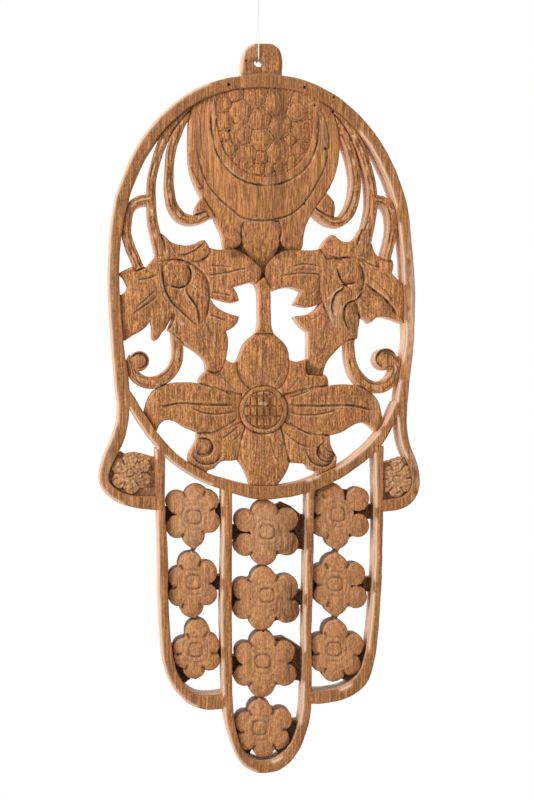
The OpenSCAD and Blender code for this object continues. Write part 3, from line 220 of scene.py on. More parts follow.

# Each stroke of the V tool: width, depth, darkness of the painted shade in its groove, then its line.
STROKES = [
    # the pomegranate's rib, and the lines beside its crescent
    (1.2, 0.7, 0.8, [(-26.4, 263), (-26.4, 257), (-25.7, 251), (-24.3, 246.3), (-22, 241.3), (-18.9, 237.2),
        (-15.7, 234), (-12, 231.3), (-8.9, 228.4), (-5.2, 227.2), (0, 226.6), (2.7, 226.9), (8.5, 228),
        (14.3, 230.4), (19.8, 237), (23.4, 243), (26.2, 248.6), (27.5, 254.5), (28, 260), (27.5, 265),
        (26.2, 269.6), (23.4, 274.6)]),
    (0.8, 0.35, 0.5, [(-26.6, 273), (-25.2, 268), (-24.9, 262), (-24.6, 256), (-23.6, 250.5)]),
    (0.7, 0.3, 0.45, [(22.6, 272.4), (24.2, 266.5), (24.4, 260.3), (23.9, 255)]),
    (0.6, 0.3, 0.8, [(15.2, 227.2), (15.3, 223.4), (15, 220.2)]),
    # the inner leaves beside the calyx
    (1.1, 0.55, 0.75, [(-22.2, 204.4), (-19, 204.4), (-16.6, 204.9), (-12, 205.8), (-8.6, 206.8),
        (-5.6, 207)]),
    (0.9, 0.35, 0.4, [(-21.2, 208.2), (-17, 207.9), (-12, 207.7)]),
    (1, 0.5, 0.75, [(-20.4, 197.3), (-17, 196.9), (-12.9, 196)]),
    (1.1, 0.55, 0.75, [(7.6, 204), (11.5, 204.8), (15.4, 205.2), (20, 205.2), (24.6, 204.9)]),
    (0.9, 0.4, 0.55, [(12.2, 207.7), (15, 208.7), (17.7, 209.1), (21.6, 208.8), (25.5, 207.7)]),
    (0.9, 0.4, 0.4, [(13.4, 206.4), (18, 206.8), (23, 206.6)]),
    (0.9, 0.4, 0.5, [(17.3, 203.8), (17.4, 200.8)]),
    (0.8, 0.4, 0.5, [(20.2, 196.6), (21.8, 197.6), (22.6, 199.2)]),
    (0.8, 0.4, 0.5, [(20.6, 186.2), (22.2, 186.9), (24, 188)]),
    # the left spray
    (1, 0.5, 0.75, [(-50.9, 202), (-46.8, 202.7), (-44.4, 203.6), (-42.2, 204.5)]),
    (1.2, 0.6, 0.7, [(-52.7, 188), (-50.6, 189.8), (-48, 191.6), (-44.9, 193.5), (-42.6, 195.6)]),
    (1, 0.45, 0.55, [(-51.6, 190.6), (-48.6, 193.2), (-45.4, 196), (-43.4, 198.2)]),
    (0.8, 0.35, 0.5, [(-41.4, 200), (-40.8, 196.8), (-39.2, 193.6)]),
    (0.9, 0.4, 0.55, [(-23.2, 186.4), (-22, 182), (-20.6, 178.6)]),
    (0.9, 0.4, 0.5, [(-22.4, 184.2), (-19.6, 178), (-17.2, 172.6)]),
    (0.8, 0.35, 0.4, [(-19, 184.6), (-17.6, 179), (-16.4, 174)]),
    (0.8, 0.35, 0.4, [(-25.8, 181.4), (-23.8, 176.4), (-21.2, 171.6), (-19.6, 167.6)]),
    (1, 0.5, 0.8, [(-20.9, 188), (-18.4, 187), (-15.2, 185.8)]),
    (0.8, 0.35, 0.45, [(-20.8, 193.4), (-20.6, 189.6)]),
    (1, 0.5, 0.6, [(-34.4, 184.6), (-34.6, 180.2)]),
    (0.9, 0.45, 0.85, [(-36.6, 207.2), (-35.8, 204.8), (-34.8, 202.6)]),
    (0.7, 0.3, 0.6, [(-37.2, 206.4), (-36.8, 204.2)]),
    (0.7, 0.35, 0.65, [(-34.2, 212.2), (-34.5, 209.8)]),
    (0.7, 0.35, 0.65, [(-32.7, 212.2), (-32.7, 209.8)]),
    (0.7, 0.35, 0.6, [(-31.2, 212), (-30.9, 209.8)]),
    (0.9, 0.45, 0.7, [(-39.9, 221.4), (-38.2, 218.4), (-36.7, 215.5), (-34.9, 212.4)]),
    (0.7, 0.3, 0.45, [(-41.2, 220), (-40.6, 214.8), (-40.2, 211)]),
    # the right spray
    (0.9, 0.45, 0.6, [(44.7, 203.6), (47.4, 202), (49.7, 199.9), (52.4, 196.9), (54.8, 193.5)]),
    (0.9, 0.45, 0.75, [(42.9, 211.2), (43.6, 210), (45.2, 209.1), (49.7, 207.7)]),
    (1, 0.5, 0.7, [(41, 195.8), (42.9, 193.1), (44.7, 191.2)]),
    (0.9, 0.4, 0.5, [(51.4, 191), (52, 187.6), (51.8, 184.6)]),
    (0.8, 0.35, 0.45, [(35.6, 189.6), (37, 186), (38, 183)]),
    (0.8, 0.35, 0.4, [(37.6, 191), (38.8, 187.4), (39.2, 184.6)]),
    (0.9, 0.4, 0.5, [(24.1, 171.1), (25.4, 173.6), (26.4, 175.7), (27.3, 178)]),
    (0.8, 0.35, 0.4, [(21.4, 184.6), (21, 178), (20.6, 172.6)]),
    (0.8, 0.35, 0.4, [(26.6, 184.6), (25.6, 180)]),
    (0.9, 0.45, 0.75, [(36, 208.6), (36.4, 206.8), (35.6, 205.4)]),
    (0.8, 0.4, 0.6, [(38.4, 208.2), (37.6, 206.4), (37.6, 205)]),
    (0.9, 0.45, 0.7, [(43, 221.6), (42.6, 216.4), (42, 212.8)]),
    # the scrolls
    (1.1, 0.6, 0.7, [(-52.6, 167.4), (-52.2, 165), (-50.6, 163.6), (-48.4, 163.8), (-46.8, 165.4)]),
    (0.9, 0.45, 0.6, [(-54.4, 171.4), (-53.6, 168.4), (-53, 165.4), (-51.4, 161.4), (-48.4, 158.4)]),
    (1, 0.5, 0.6, [(47.8, 170.8), (49.6, 172.2), (52.4, 172.6), (55.2, 171.4), (56.8, 168.4)]),
    (0.9, 0.45, 0.6, [(56.4, 166), (55.8, 162.2), (53.6, 159.2), (50.4, 157.2)]),
    # the lotus: top petal
    (0.9, 0.4, 0.55, [(-16.6, 162.7), (-14.2, 160.4), (-11.4, 157.4)]),
    (0.9, 0.4, 0.5, [(-9.4, 164.6), (-7.2, 161.6), (-5.2, 159)]),
    (0.8, 0.35, 0.5, [(-2.8, 170), (-2.3, 165), (-1.7, 160.4)]),
    (0.8, 0.35, 0.45, [(0.4, 172), (0.4, 166), (0.5, 160.6)]),
    (0.8, 0.35, 0.5, [(4.4, 170), (3.8, 165), (3, 160.4)]),
    (0.8, 0.35, 0.45, [(8.2, 165), (6.6, 161.6), (5.2, 159.4)]),
    (0.9, 0.45, 0.55, [(15.6, 162.4), (13.2, 159.6), (11.2, 157)]),
    (0.9, 0.45, 0.7, [(-19.5, 158.4), (-16.6, 157.3), (-13.4, 155.7), (-11, 155)]),
    (0.9, 0.45, 0.7, [(20.8, 157.4), (17.3, 156), (14.6, 155), (11.4, 154.2)]),
    # the lotus: side petals' veins
    (1.1, 0.55, 0.75, [(-40.4, 149.8), (-38.2, 150.8), (-35.4, 151.6), (-31.5, 151.8), (-24.3, 151),
        (-17, 150.8), (-10.4, 151)]),
    (1, 0.5, 0.75, [(-29.6, 150.4), (-27.4, 149), (-24.2, 147.8), (-19.8, 147.2), (-14.3, 147.6),
        (-9.8, 148.6)]),
    (1.1, 0.55, 0.75, [(11.4, 150.9), (20, 150.4), (31.9, 150.7), (37.4, 150.7), (42, 149.8),
        (45.9, 148.6)]),
    (1, 0.5, 0.75, [(11.4, 148.3), (15, 147), (19.6, 146.8), (24.2, 147.2), (27.8, 148), (31.4, 149.2)]),
    (0.8, 0.4, 0.5, [(46.6, 153.4), (47, 149), (47, 145.6)]),
    # the lotus: curls under the side petals
    (1, 0.5, 0.75, [(-10.4, 145.4), (-14.3, 142.4), (-19.3, 139.9)]),
    (1, 0.5, 0.75, [(-9.2, 142.6), (-12.5, 139.6), (-16.4, 137.2)]),
    (1.1, 0.6, 0.8, [(-24.4, 137.6), (-21.2, 136.8), (-20, 134.4), (-21.2, 131.6), (-24.2, 130.4),
        (-27.4, 131.6)]),
    (0.8, 0.4, 0.5, [(-8.6, 139.6), (-10.2, 137.6), (-11.8, 136.4)]),
    (1, 0.5, 0.75, [(10.8, 144.2), (14.2, 141.9), (18.2, 139.7), (22, 138.4)]),
    (1, 0.5, 0.75, [(9.4, 140.4), (12.4, 137.2), (16.2, 134.6), (20.6, 133.2)]),
    (1.1, 0.6, 0.8, [(22.6, 134.8), (24.2, 130.6), (27.4, 128.6), (30.8, 130.2), (31.6, 133)]),
    (0.9, 0.5, 0.6, [(26.4, 133.4), (27.8, 131.6), (29.6, 131.6)]),
    # the lotus: bottom petal
    (0.9, 0.45, 0.7, [(3, 138.2), (4.2, 134), (5.4, 130.4), (7, 127.6)]),
    (0.8, 0.35, 0.55, [(1.6, 138), (1.3, 131), (1.6, 125.6)]),
    (0.8, 0.35, 0.5, [(-1.4, 138), (-2.2, 132), (-2.6, 126.4)]),
    (0.7, 0.3, 0.4, [(-4.2, 136.2), (-5.2, 130.6)]),
    (0.7, 0.3, 0.45, [(6.8, 137.6), (9.4, 134.4)]),
]

# Where one leaf folds over another: strength of the fall, its reach, darkness of the painted shade at its
# foot, then the line.
# The lower side lies to the right of the line's run.
FOLDS = [
    # the left spray: round the bud, over the inner leaf, and the rolled leaf below the bud
    (1, 2.6, 0.9, [(-30.3, 208.6), (-28.9, 206.4), (-28.6, 204), (-29.4, 201.4), (-30.9, 199.9)]),
    (0.8, 1.6, 0.9, [(-30.9, 199.9), (-32.6, 199.1), (-34.9, 198.8), (-37.4, 199.7)]),
    (0.9, 3.4, 0.6, [(-29.4, 208.6), (-25.7, 206.8), (-23.2, 204.4), (-21.6, 200.4), (-21.1, 195.6),
        (-21.9, 189.6), (-23.4, 184.4)]),
    (0.9, 2.8, 0.85, [(-25.9, 183.6), (-26.1, 187), (-26.5, 190.6), (-28.4, 193.6), (-30.6, 196.4),
        (-31.4, 199)]),
    (0.9, 2.6, 0.55, [(-41.2, 209), (-40.8, 205.4), (-40.4, 199.4), (-38, 194.2), (-33.4, 189.4),
        (-29.4, 186), (-26.2, 183)][::-1]),
    (0.7, 2, 0.8, [(-35.4, 188.6), (-36, 186), (-36.9, 183.6), (-38.4, 181.6)]),
    (0.6, 2, 0.5, [(-35.6, 210.8), (-31.6, 210.4), (-27.6, 208.4), (-24.6, 205.8)]),
    (0.6, 2.2, 0.45, [(-23.6, 218), (-27, 214.6), (-31, 212.8), (-34.6, 212.6)][::-1]),
    # the right spray
    (1, 2.4, 0.9, [(39.6, 201.7), (37.6, 201), (35.6, 200.8), (33.4, 201.8), (31.9, 204.4), (31.3, 207.9)]),
    (0.7, 2, 0.7, [(40.4, 210.2), (42.2, 207), (42.8, 203.2), (42.1, 199.2), (40.6, 196.6)]),
    (0.9, 2.6, 0.9, [(34, 201.2), (34.1, 199.6), (32.6, 198.4), (30.8, 197.6), (29.4, 194.6), (28.8, 191),
        (29.8, 187.4)][::-1]),
    (0.6, 2.6, 0.4, [(25, 206.4), (24.3, 202), (24.2, 197.2), (26.2, 191.2), (29.4, 183.8)]),
    (0.8, 2.4, 0.85, [(42.6, 199.2), (41.2, 197), (39.2, 194.4), (37.4, 194.2), (35.2, 192.9),
        (33.8, 190.4), (33.8, 187), (35, 183.8), (36.4, 181.2)][::-1]),
    (0.6, 1.8, 0.6, [(38.6, 194), (40.2, 191.4), (40.6, 187.6)]),
    (1, 3.2, 0.8, [(42.9, 201.7), (47.5, 198.1), (50.4, 195.8), (52.9, 193.4), (55.4, 190.6),
        (56.4, 187.4)]),
    (0.6, 2.2, 0.5, [(27.2, 213.2), (31.4, 211.6), (35, 212.2), (38.6, 211.6)]),
    # the lotus: the side petals' upper halves and the curls
    (0.5, 3.4, 0.35, [(-44, 150.2), (-38.2, 151.4), (-31.5, 152.2), (-24.3, 151.6), (-17, 151.4),
        (-10.4, 151.6)]),
    (0.5, 3.4, 0.35, [(11.4, 151.5), (20, 151), (31.9, 151.3), (37.4, 151.3), (42, 150.4), (46.4, 149)]),
    (0.8, 2.4, 0.7, [(-26.4, 137.4), (-22.6, 137.6), (-20.2, 135.6), (-19.8, 132.6), (-21.8, 130.2),
        (-25, 129.8), (-26.6, 131.6), (-25.6, 133.6)]),
    (0.8, 2.4, 0.7, [(26.4, 136.4), (23.4, 134.2), (22.6, 131), (24.6, 128), (28.2, 127.4), (30.6, 129.6),
        (29.6, 132.2), (27.4, 132.2)][::-1]),
    (0.7, 1.9, 0.6, [(18.3, 131.6), (20.4, 127.4), (24.5, 125.4), (28.4, 126.2), (30.4, 129.4)][::-1]),
    (0.6, 1.9, 0.55, [(-15.8, 131.6), (-18, 127.8), (-22.2, 126.2), (-26.4, 127.4), (-28.8, 130.8)]),
    # the scrolls' ends
    (0.8, 2, 0.7, [(-54, 170), (-51.8, 172.6), (-48.2, 172.4), (-46.2, 169.6), (-47.2, 166.6),
        (-49.6, 165.8)]),
    (0.8, 2.2, 0.7, [(56, 171.6), (53.6, 174), (50, 174.2), (47.4, 171.6), (47.6, 168.4),
        (50.2, 166.4)][::-1]),
]

# Worm holes and burnt pores: x, height, half its width.
PIN_HOLES = [
    (26.5, 256.6, 0.55), (22, 274.4, 0.45), (-13.2, 263.5, 0.5), (-13.6, 282.2, 0.6), (29.7, 272, 0.5),
    (29.7, 277.6, 0.4), (17.7, 281.6, 0.5), (-39.4, 254.5, 0.5), (-6.3, 292.6, 0.35), (17.8, 233.8, 0.35),
]

# Places that are darker than the wood round them, stains and painted shadows such as the one under a sepal of
# the lotus: x, height, half width, half height, strength.
DARK_AND_SHADOWED_PLACES = [
    (11.2, 68.6, 5, 8, 0.55), (11.4, 97, 5, 8.6, 0.5), (11.6, 42.5, 4.2, 8, 0.25),
    (5.5, 93.5, 3.5, 3, 0.25), (6.6, 256, 3.4, 34, 0.42), (-9.6, 213.8, 3.6, 2.6, 0.8),
    (8.4, 214, 3.8, 2.8, 0.8), (14.5, 263, 3, 8, 0.2), (36.2, 187.6, 3, 5.6, 0.3),
    (21.8, 165.4, 3.4, 1.1, 1), (-18, 164.2, 2.6, 0.8, 0.8), (1, 148.6, 5, 5, 0.35),
    (-12.6, 149.4, 3.2, 6, 0.25), (14.4, 149, 3, 5, 0.2), (-50, 121, 4, 6, 0.3), (8, 284.5, 9, 2.4, 0.35),
    (-20.6, 276.5, 3.4, 3.6, 0.4), (63.9, 118.8, 1, 5.2, 0.9), (13, 295.5, 4, 3, 0.25),
    (52, 172, 3.4, 1.8, 0.5),
]

# Places where two regions run into each other without a cut between them, written in the same way.
FADED_JOINTS = [
    (-41.6, 211.4, 4.4, 4, 1), (42.4, 213, 4.6, 4.4, 1), (-38.6, 208.4, 4.6, 4.6, 0.9),
    (-39.4, 202.6, 3.6, 4, 0.8), (40.4, 210, 4.6, 4, 0.9), (34.4, 211.8, 4, 3, 0.7),
    (-20.4, 274.6, 3.2, 4.6, 1), (22, 274, 3.2, 4.6, 1), (-34.9, 204.9, 7.4, 7.4, 1),
    (37, 206.6, 7.4, 7.4, 1), (-25.4, 197.8, 5.5, 3.4, 1), (29, 196.4, 5, 4.5, 1),
    (-35.4, 192.8, 2.4, 4.4, 1), (39.5, 195.4, 5, 4.6, 1), (-15, 141, 5.4, 3, 0.75),
    (17.4, 140.4, 6, 3.2, 0.75), (-15.6, 155.4, 5.4, 3, 0.6), (18, 157, 6, 3, 0.6),
    (-7.6, 134.6, 3, 5.4, 0.55), (9.8, 134, 3, 5.4, 0.55), (54.4, 206.8, 2, 2, 0.8),
    (-34.6, 181, 2.6, 2, 0.6),
]

# Places that are paler, written in the same way: paler wood, and painted highlights where the rim's rounded
# outer edges catch the light.
PALE_AND_LIT_PLACES = [
    (63.6, 205, 2.6, 70, 0.85), (0.5, 151.6, 1.4, 0.8, 1), (-32.6, 184.4, 0.9, 0.6, 0.8),
    (-40.4, 188.6, 0.9, 2, 0.3), (-62.4, 190, 1.6, 80, 0.35), (-27, 100, 8, 14, 0.15),
    (-7.5, 296, 4, 2.4, 0.4), (30, 190, 2.4, 7, 0.35), (2, 98, 8, 10, 0.12), (47.4, 150, 2, 9, 0.2),
    (0, 287.2, 14, 0.8, 0.5),
]

FRAME_NODES = ["outer_rim", "hanging_tab", "palm_arc", "left_finger_frame", "middle_finger_frame",
               "right_finger_frame"]
FRUIT_NODES = ["pomegranate_husk", "pomegranate_crescent", "pomegranate_seeds", "pomegranate_calyx"]
VINE_NODES = ["left_vine", "right_vine", "left_tendril", "right_tendril", "left_scroll", "right_scroll"]
LEAF_NODES = [side + part for side in ("left_", "right_")
              for part in ("curled_leaf", "sepal", "inner_leaf", "long_leaf", "outer_leaf", "bud")]
LOTUS_NODES = ["lotus_" + part
               for part in ("stem", "top_petal", "left_sepal", "right_sepal", "left_petal", "right_petal",
                            "left_curl", "right_curl", "bottom_petal", "boss")]
ROSETTE_NODES = [f"{finger}_rosette_{number + 1}"
                 for finger, count in (("left", 3), ("middle", 4), ("right", 3)) for number in range(count)]
THUMB_NODES = ["left_thumb", "right_thumb"]
BOARD_NODES = (FRAME_NODES + FRUIT_NODES + VINE_NODES + LEAF_NODES + LOTUS_NODES + ROSETTE_NODES
               + THUMB_NODES)

# How strongly the tools broke up the grain; 1 is a carved leaf.
BROKEN_GRAIN = {name: 1.0 for name in VINE_NODES + LEAF_NODES + LOTUS_NODES}
BROKEN_GRAIN.update({name: 0.75 for name in FRAME_NODES})
BROKEN_GRAIN.update({name: 1.3 for name in ROSETTE_NODES})
BROKEN_GRAIN.update({name: 2.0 for name in THUMB_NODES})
BROKEN_GRAIN.update(pomegranate_husk=0.4, pomegranate_crescent=0.5, pomegranate_seeds=0.9,
                    pomegranate_calyx=0.5, hanging_tab=1.1)
BACK_GRAIN = 0.5

# How much of the looks of the front's edge goes on down the side walls.
WALL_LOOKS = {"worn": 0.2, "stain_and_shadow": 1.0}

# Edges sharper than this stay sharp in the shading, and the broad clouds of the wood's tone, per metre.
SHARP_ANGLE = math.radians(48)
CLOUD_SCALE = 70.0

# The thread's route from the knot down through the tab and back up: y and z in metres.
THREAD_ROUTE = [
    (-0.0004, 0), (-0.0004, -0.0008), (-0.0007, -0.0024), (-0.0013, -0.0052), (-0.002, -0.0086),
    (-0.0027, -0.012), (-0.0035, -0.0156), (-0.0042, -0.0188), (-0.0045, -0.0206), (-0.0046, -0.0224),
    (-0.0046, -0.0244), (-0.00455, -0.026), (-0.0042, -0.0271), (-0.0034, -0.0275), (-0.002, -0.0275),
    (0, -0.0275), (0.002, -0.0275), (0.004, -0.0275), (0.0056, -0.0275), (0.0063, -0.0271),
    (0.0066, -0.026), (0.0066, -0.0244), (0.0066, -0.0224), (0.0065, -0.0206), (0.006, -0.0188),
    (0.005, -0.0156), (0.0039, -0.012), (0.0028, -0.0086), (0.0018, -0.0052), (0.0009, -0.0024),
    (0.0004, -0.0008), (0.0004, 0),
]
THREAD_DIAMETER = 0.0005
# The knot is a trefoil: its radius, its height and half its depth, and the strand's swollen diameter.
KNOT_RADIUS = 0.000434
KNOT_HEIGHT = 0.0015
KNOT_DEPTH = 0.00082
KNOT_STRAND = 0.00056

# The camera looks at the middle of the photograph; the window stands to the left, in front and above.
TARGET = Vector((0.00315, -0.0075, -0.1679))
WINDOW_PLACE = Vector((-0.95, -0.75, 0.42))
WINDOW_WIDTH, WINDOW_HEIGHT = 0.7, 0.9
WINDOW_COLOUR = (1.0, 0.985, 0.96)


class CarvingSettings(bpy.types.PropertyGroup):
    """How finely the board's front is modelled and how the carver left it."""
    grid: FloatProperty(name="Grid", description="Distance between points of the carved front",
                        default=0.00036, min=0.0002, unit="LENGTH")
    outline_step: FloatProperty(name="Outline Step", description="Longest step along an outline",
                                default=0.00042, min=0.0002, unit="LENGTH")
    edge_round: FloatProperty(name="Edge Rounding", description="Radius worn on the free edges",
                              default=0.0007, min=0.0, unit="LENGTH")
    frame_round: FloatProperty(name="Frame Rounding", description="Radius worn on the frame's free edges",
                               default=0.0010, min=0.0, unit="LENGTH")
    step_round: FloatProperty(name="Step Rounding", description="Radius worn at steps between regions",
                              default=0.0005, min=0.0, unit="LENGTH")
    joint_width: FloatProperty(name="Joint Width", description="Half the width of the cut between regions",
                               default=0.0006, min=0.0, unit="LENGTH")
    joint_depth: FloatProperty(name="Joint Depth", description="Depth of the V cut between two regions",
                               default=0.0008, min=0.0, unit="LENGTH")
    tool_mark: FloatProperty(name="Tool Marks", description="Height of the gouge's marks on carved regions",
                             default=0.00026, min=0.0, unit="LENGTH")
    flat_mark: FloatProperty(name="Plane Marks", description="Height of the marks on smooth faces",
                             default=0.00005, min=0.0, unit="LENGTH")
    chatter: FloatProperty(name="Chatter", description="Height of the fine ripples left by the gouge",
                           default=0.00003, min=0.0, unit="LENGTH")
    wobble: FloatProperty(name="Wobble", description="How far the hand-sawn outlines stray",
                          default=0.00005, min=0.0, unit="LENGTH")
    seed: IntProperty(name="Seed", description="Seed of every random choice", default=11)


class FinishSettings(bpy.types.PropertyGroup):
    """The wood's figure and its wax."""
    fibre_width: FloatProperty(name="Fibre Width", description="Width of the fine fibre lines",
                               default=0.00040, min=0.0001, unit="LENGTH")
    fibre_length: FloatProperty(name="Fibre Length", description="Length of the fine fibre lines",
                                default=0.020, min=0.001, unit="LENGTH")
    pore_width: FloatProperty(name="Pore Spacing", description="Spacing of the open pores across the grain",
                              default=0.0009, min=0.0002, unit="LENGTH")
    pore_length: FloatProperty(name="Pore Length", description="Spacing of the open pores along the grain",
                               default=0.0042, min=0.0005, unit="LENGTH")
    roughness: FloatProperty(name="Roughness", description="Roughness of the waxed wood", default=0.6,
                             min=0.0, max=1.0)


class StageSettings(bpy.types.PropertyGroup):
    """The photograph's camera and light."""
    camera_distance: FloatProperty(name="Camera Distance", description="From the board to the camera",
                                   default=0.75, min=0.1, unit="LENGTH")
    camera_azimuth: FloatProperty(name="Camera Azimuth", description="Angle to the right of straight ahead",
                                  default=math.radians(-5.5), unit="ROTATION")
    camera_lens: FloatProperty(name="Camera Lens", description="Focal length in millimetres",
                               default=54.88, min=1.0)
    sensor: FloatProperty(name="Sensor", description="Long side of the sensor in millimetres",
                          default=24.0, min=1.0)
    key_power: FloatProperty(name="Key Light", description="Power of the window's light, in watts",
                             default=12.0, min=0.0)
    fill: FloatProperty(name="Fill", description="Strength of the even light in front",
                        default=0.56, min=0.0)
    backdrop: FloatProperty(name="Backdrop", description="Strength of the light from the white backdrop",
                            default=1.2, min=0.0)


def linear(code):
    """A colour written as sRGB hex, as the linear colour that Blender uses."""
    channels = [int(code[i:i + 2], 16) / 255 for i in (0, 2, 4)]
    return tuple(c / 12.92 if c <= 0.04045 else ((c + 0.055) / 1.055) ** 2.4 for c in channels) + (1.0,)


def to_frame(points):
    """Plane coordinates as the frame's x and z, in millimetres."""
    return np.array(points, float).reshape(-1, 2) + (PLANE_SHIFT, -HOOK_HEIGHT)


def lengths(vectors):
    """Length of each of these vectors of the plane."""
    return np.hypot(vectors[..., 0], vectors[..., 1])


def across(ahead):
    """Unit vectors square to these, towards the wood when they run along an outline."""
    return np.stack([ahead[:, 1], -ahead[:, 0]], 1) / np.maximum(lengths(ahead), 1e-9)[:, None]


def along(loop):
    """Which way a closed outline runs at each of its points."""
    return np.roll(loop, -1, axis=0) - np.roll(loop, 1, axis=0)


def turned(a, b, c):
    """Twice the area of each triangle; above zero where it runs anticlockwise seen from the front."""
    return (b - a)[:, 0] * (c - a)[:, 1] - (b - a)[:, 1] * (c - a)[:, 0]


def soft(distance, reach):
    """A soft line: 1 on it, fading within this reach of it."""
    return np.exp(-(distance / reach) ** 2)


def waves(points, length, seed, count=7):
    """A smooth field of about one unit each way, made of waves of about this length."""
    random = np.random.default_rng(seed)
    total = np.zeros(len(points))
    for _ in range(count):
        angle = random.uniform(0, 2 * math.pi)
        pitch = 2 * math.pi / (length * random.uniform(0.7, 1.5))
        total += np.sin(points[:, 0] * math.cos(angle) * pitch + points[:, 1] * math.sin(angle) * pitch
                        + random.uniform(0, 2 * math.pi))
    return total / math.sqrt(count)


def near_line(points, line):
    """Distance to a line, how far along it (0 to 1) the nearest place lies, and its side (1 is right)."""
    best = np.full(len(points), np.inf)
    share = np.zeros(len(points))
    side = np.zeros(len(points))
    steps = lengths(line[1:] - line[:-1])
    total = steps.sum()
    done = 0.0
    for start, end, length in zip(line[:-1], line[1:], steps):
        ahead, away = end - start, points - start
        part = np.clip((away @ ahead) / max(length * length, 1e-12), 0, 1)
        distance = lengths(away - part[:, None] * ahead)
        closer = distance < best
        best[closer] = distance[closer]
        share[closer] = (done + part[closer] * length) / total
        side[closer] = np.sign(ahead[1] * away[closer, 0] - ahead[0] * away[closer, 1])
        done += length
    return best, share, side


def near_box(points, line, margin):
    """Numbers of the points that lie in a line's box or within this margin of it."""
    low, high = line.min(0) - margin, line.max(0) + margin
    return np.flatnonzero((points >= low).all(1) & (points <= high).all(1))


def resampled(line, step, closed=False):
    """The line with no step longer than this."""
    line = [np.array(p, float) for p in line]
    ends = line[1:] + line[:1] if closed else line[1:]
    result = []
    for start, end in zip(line, ends):
        pieces = max(1, math.ceil(lengths(end - start) / step))
        result += [start + (end - start) * i / pieces for i in range(pieces)]
    if not closed:
        result.append(line[-1])
    return np.array(result)


def smoothed(line, rounds=2):
    """The open line with its corners cut, so that a stroke runs in one sweep."""
    line = np.array(line, float)
    for _ in range(rounds if len(line) > 2 else 0):
        quarter = line[:-1] * 0.75 + line[1:] * 0.25
        three = line[:-1] * 0.25 + line[1:] * 0.75
        line = np.vstack([line[:1], np.stack([quarter, three], 1).reshape(-1, 2)[1:-1], line[-1:]])
    return line


def ring_line(radius, count, square=2.0):
    """A closed ring round the origin: a circle, or squarer for a higher power."""
    turns = np.arange(count) * 2 * math.pi / count
    around = np.stack([np.cos(turns), np.sin(turns)], 1)
    return around * (radius / (np.abs(around) ** square).sum(axis=1) ** (1 / square))[:, None]


def rows_beside(line, low, high, offsets):
    """Rows of mesh points beside a line, if the line passes through a region's box."""
    if (line.max(0) < low).any() or (line.min(0) > high).any():
        return []
    dense = resampled(line, DETAIL_PITCH)
    side = across(np.gradient(dense, axis=0))
    return [(dense + side * offset, DETAIL_CLEAR) for offset in offsets]


def cad_solid(name):
    """Corners, in millimetres, and triangles of a node of the frame, with doubled corners joined."""
    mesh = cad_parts[name].data
    corners = np.empty(len(mesh.vertices) * 3)
    mesh.vertices.foreach_get("co", corners)
    mesh.calc_loop_triangles()
    triangles = np.empty(len(mesh.loop_triangles) * 3, np.int64)
    mesh.loop_triangles.foreach_get("vertices", triangles)
    keys, numbers = np.unique(np.round(corners.reshape(-1, 3) * 1e6).astype(np.int64), axis=0,
                              return_inverse=True)
    triangles = numbers.reshape(-1)[triangles].reshape(-1, 3)
    a, b, c = triangles.T
    return keys / 1000.0, triangles[(a != b) & (b != c) & (a != c)]


def edges_once(triangles):
    """Directed edges that only one triangle has."""
    edges = np.concatenate([triangles[:, [0, 1]], triangles[:, [1, 2]], triangles[:, [2, 0]]])
    there = set(map(tuple, edges.tolist()))
    return [edge for edge in edges.tolist() if (edge[1], edge[0]) not in there]


def outlines(corners, triangles):
    """Closed outlines of the solid's back face, each as an array of x and z."""
    level = corners[:, 1] > corners[:, 1].max() - 0.02
    following = {}
    for start, end in edges_once(triangles[level[triangles].all(axis=1)]):
        following.setdefault(start, []).append(end)
    loops = []
    while following:
        start = next(iter(following))
        loop, here = [start], start
        while True:
            nexts = following[here]
            there = nexts.pop()
            if not nexts:
                del following[here]
            if there == start:
                break
            loop.append(there)
            here = there
        line = corners[loop][:, [0, 2]]
        line = line[lengths(line - np.roll(line, 1, axis=0)) > 0.04]
        if len(line) > 2:
            loops.append(line)
    return loops


def tree_of(*solids):
    """Search tree of one or more solids, each its corners and triangles in millimetres."""
    starts = np.cumsum([0] + [len(corners) for corners, _ in solids])
    corners = np.vstack([corners for corners, _ in solids])
    triangles = np.vstack([triangles + start for (_, triangles), start in zip(solids, starts)])
    return BVHTree.FromPolygons(corners.tolist(), triangles.tolist(), all_triangles=True)


def front_heights(tree, points):
    """The y at which a line of sight from the front meets the solid, or not a number where it doesn't."""
    cast = tree.ray_cast
    heights = np.full(len(points), np.nan)
    for i, (x, z) in enumerate(points.tolist()):
        hit = cast(Vector((x, SIGHT_START, z)), SIGHT)[0]
        if hit is not None:
            heights[i] = hit[1]
    return heights


def place_tree(places):
    """Search tree of places on the plane."""
    tree = kdtree.KDTree(len(places))
    for i, (x, z) in enumerate(places.tolist()):
        tree.insert((x, 0.0, z), i)
    tree.balance()
    return tree


def distances(points, targets):
    """Distance from each point to the nearest target, up to the farthest that matters."""
    result = np.full(len(points), FAR)
    if len(targets):
        find = place_tree(targets).find
        for i, (x, z) in enumerate(points.tolist()):
            result[i] = min(FAR, find((x, 0.0, z))[2])
    return result


def step_rows(corners, triangles):
    """Places on both sides of the steps within a solid's front, so that each step stays sharp."""
    a, b, c = (corners[triangles[:, i]] for i in range(3))
    normals = np.cross(b - a, c - a)
    size = np.linalg.norm(normals, axis=1)
    forward = -normals[:, 1] / np.maximum(size, 1e-9) > 0.5
    rows = []
    for start, end in edges_once(triangles[forward & (size > 1e-6)]):
        first, ahead = corners[start][[0, 2]], corners[end][[0, 2]] - corners[start][[0, 2]]
        length = lengths(ahead)
        if length < 0.02:
            continue
        side = np.array([-ahead[1], ahead[0]]) / length * STEP_SIDE
        count = max(1.0, round(length / STEP_PITCH))
        for share in np.arange(0.5, count) / count:
            spot = first + ahead * share
            rows += [spot + side, spot - side]
    return np.array(rows).reshape(-1, 2)


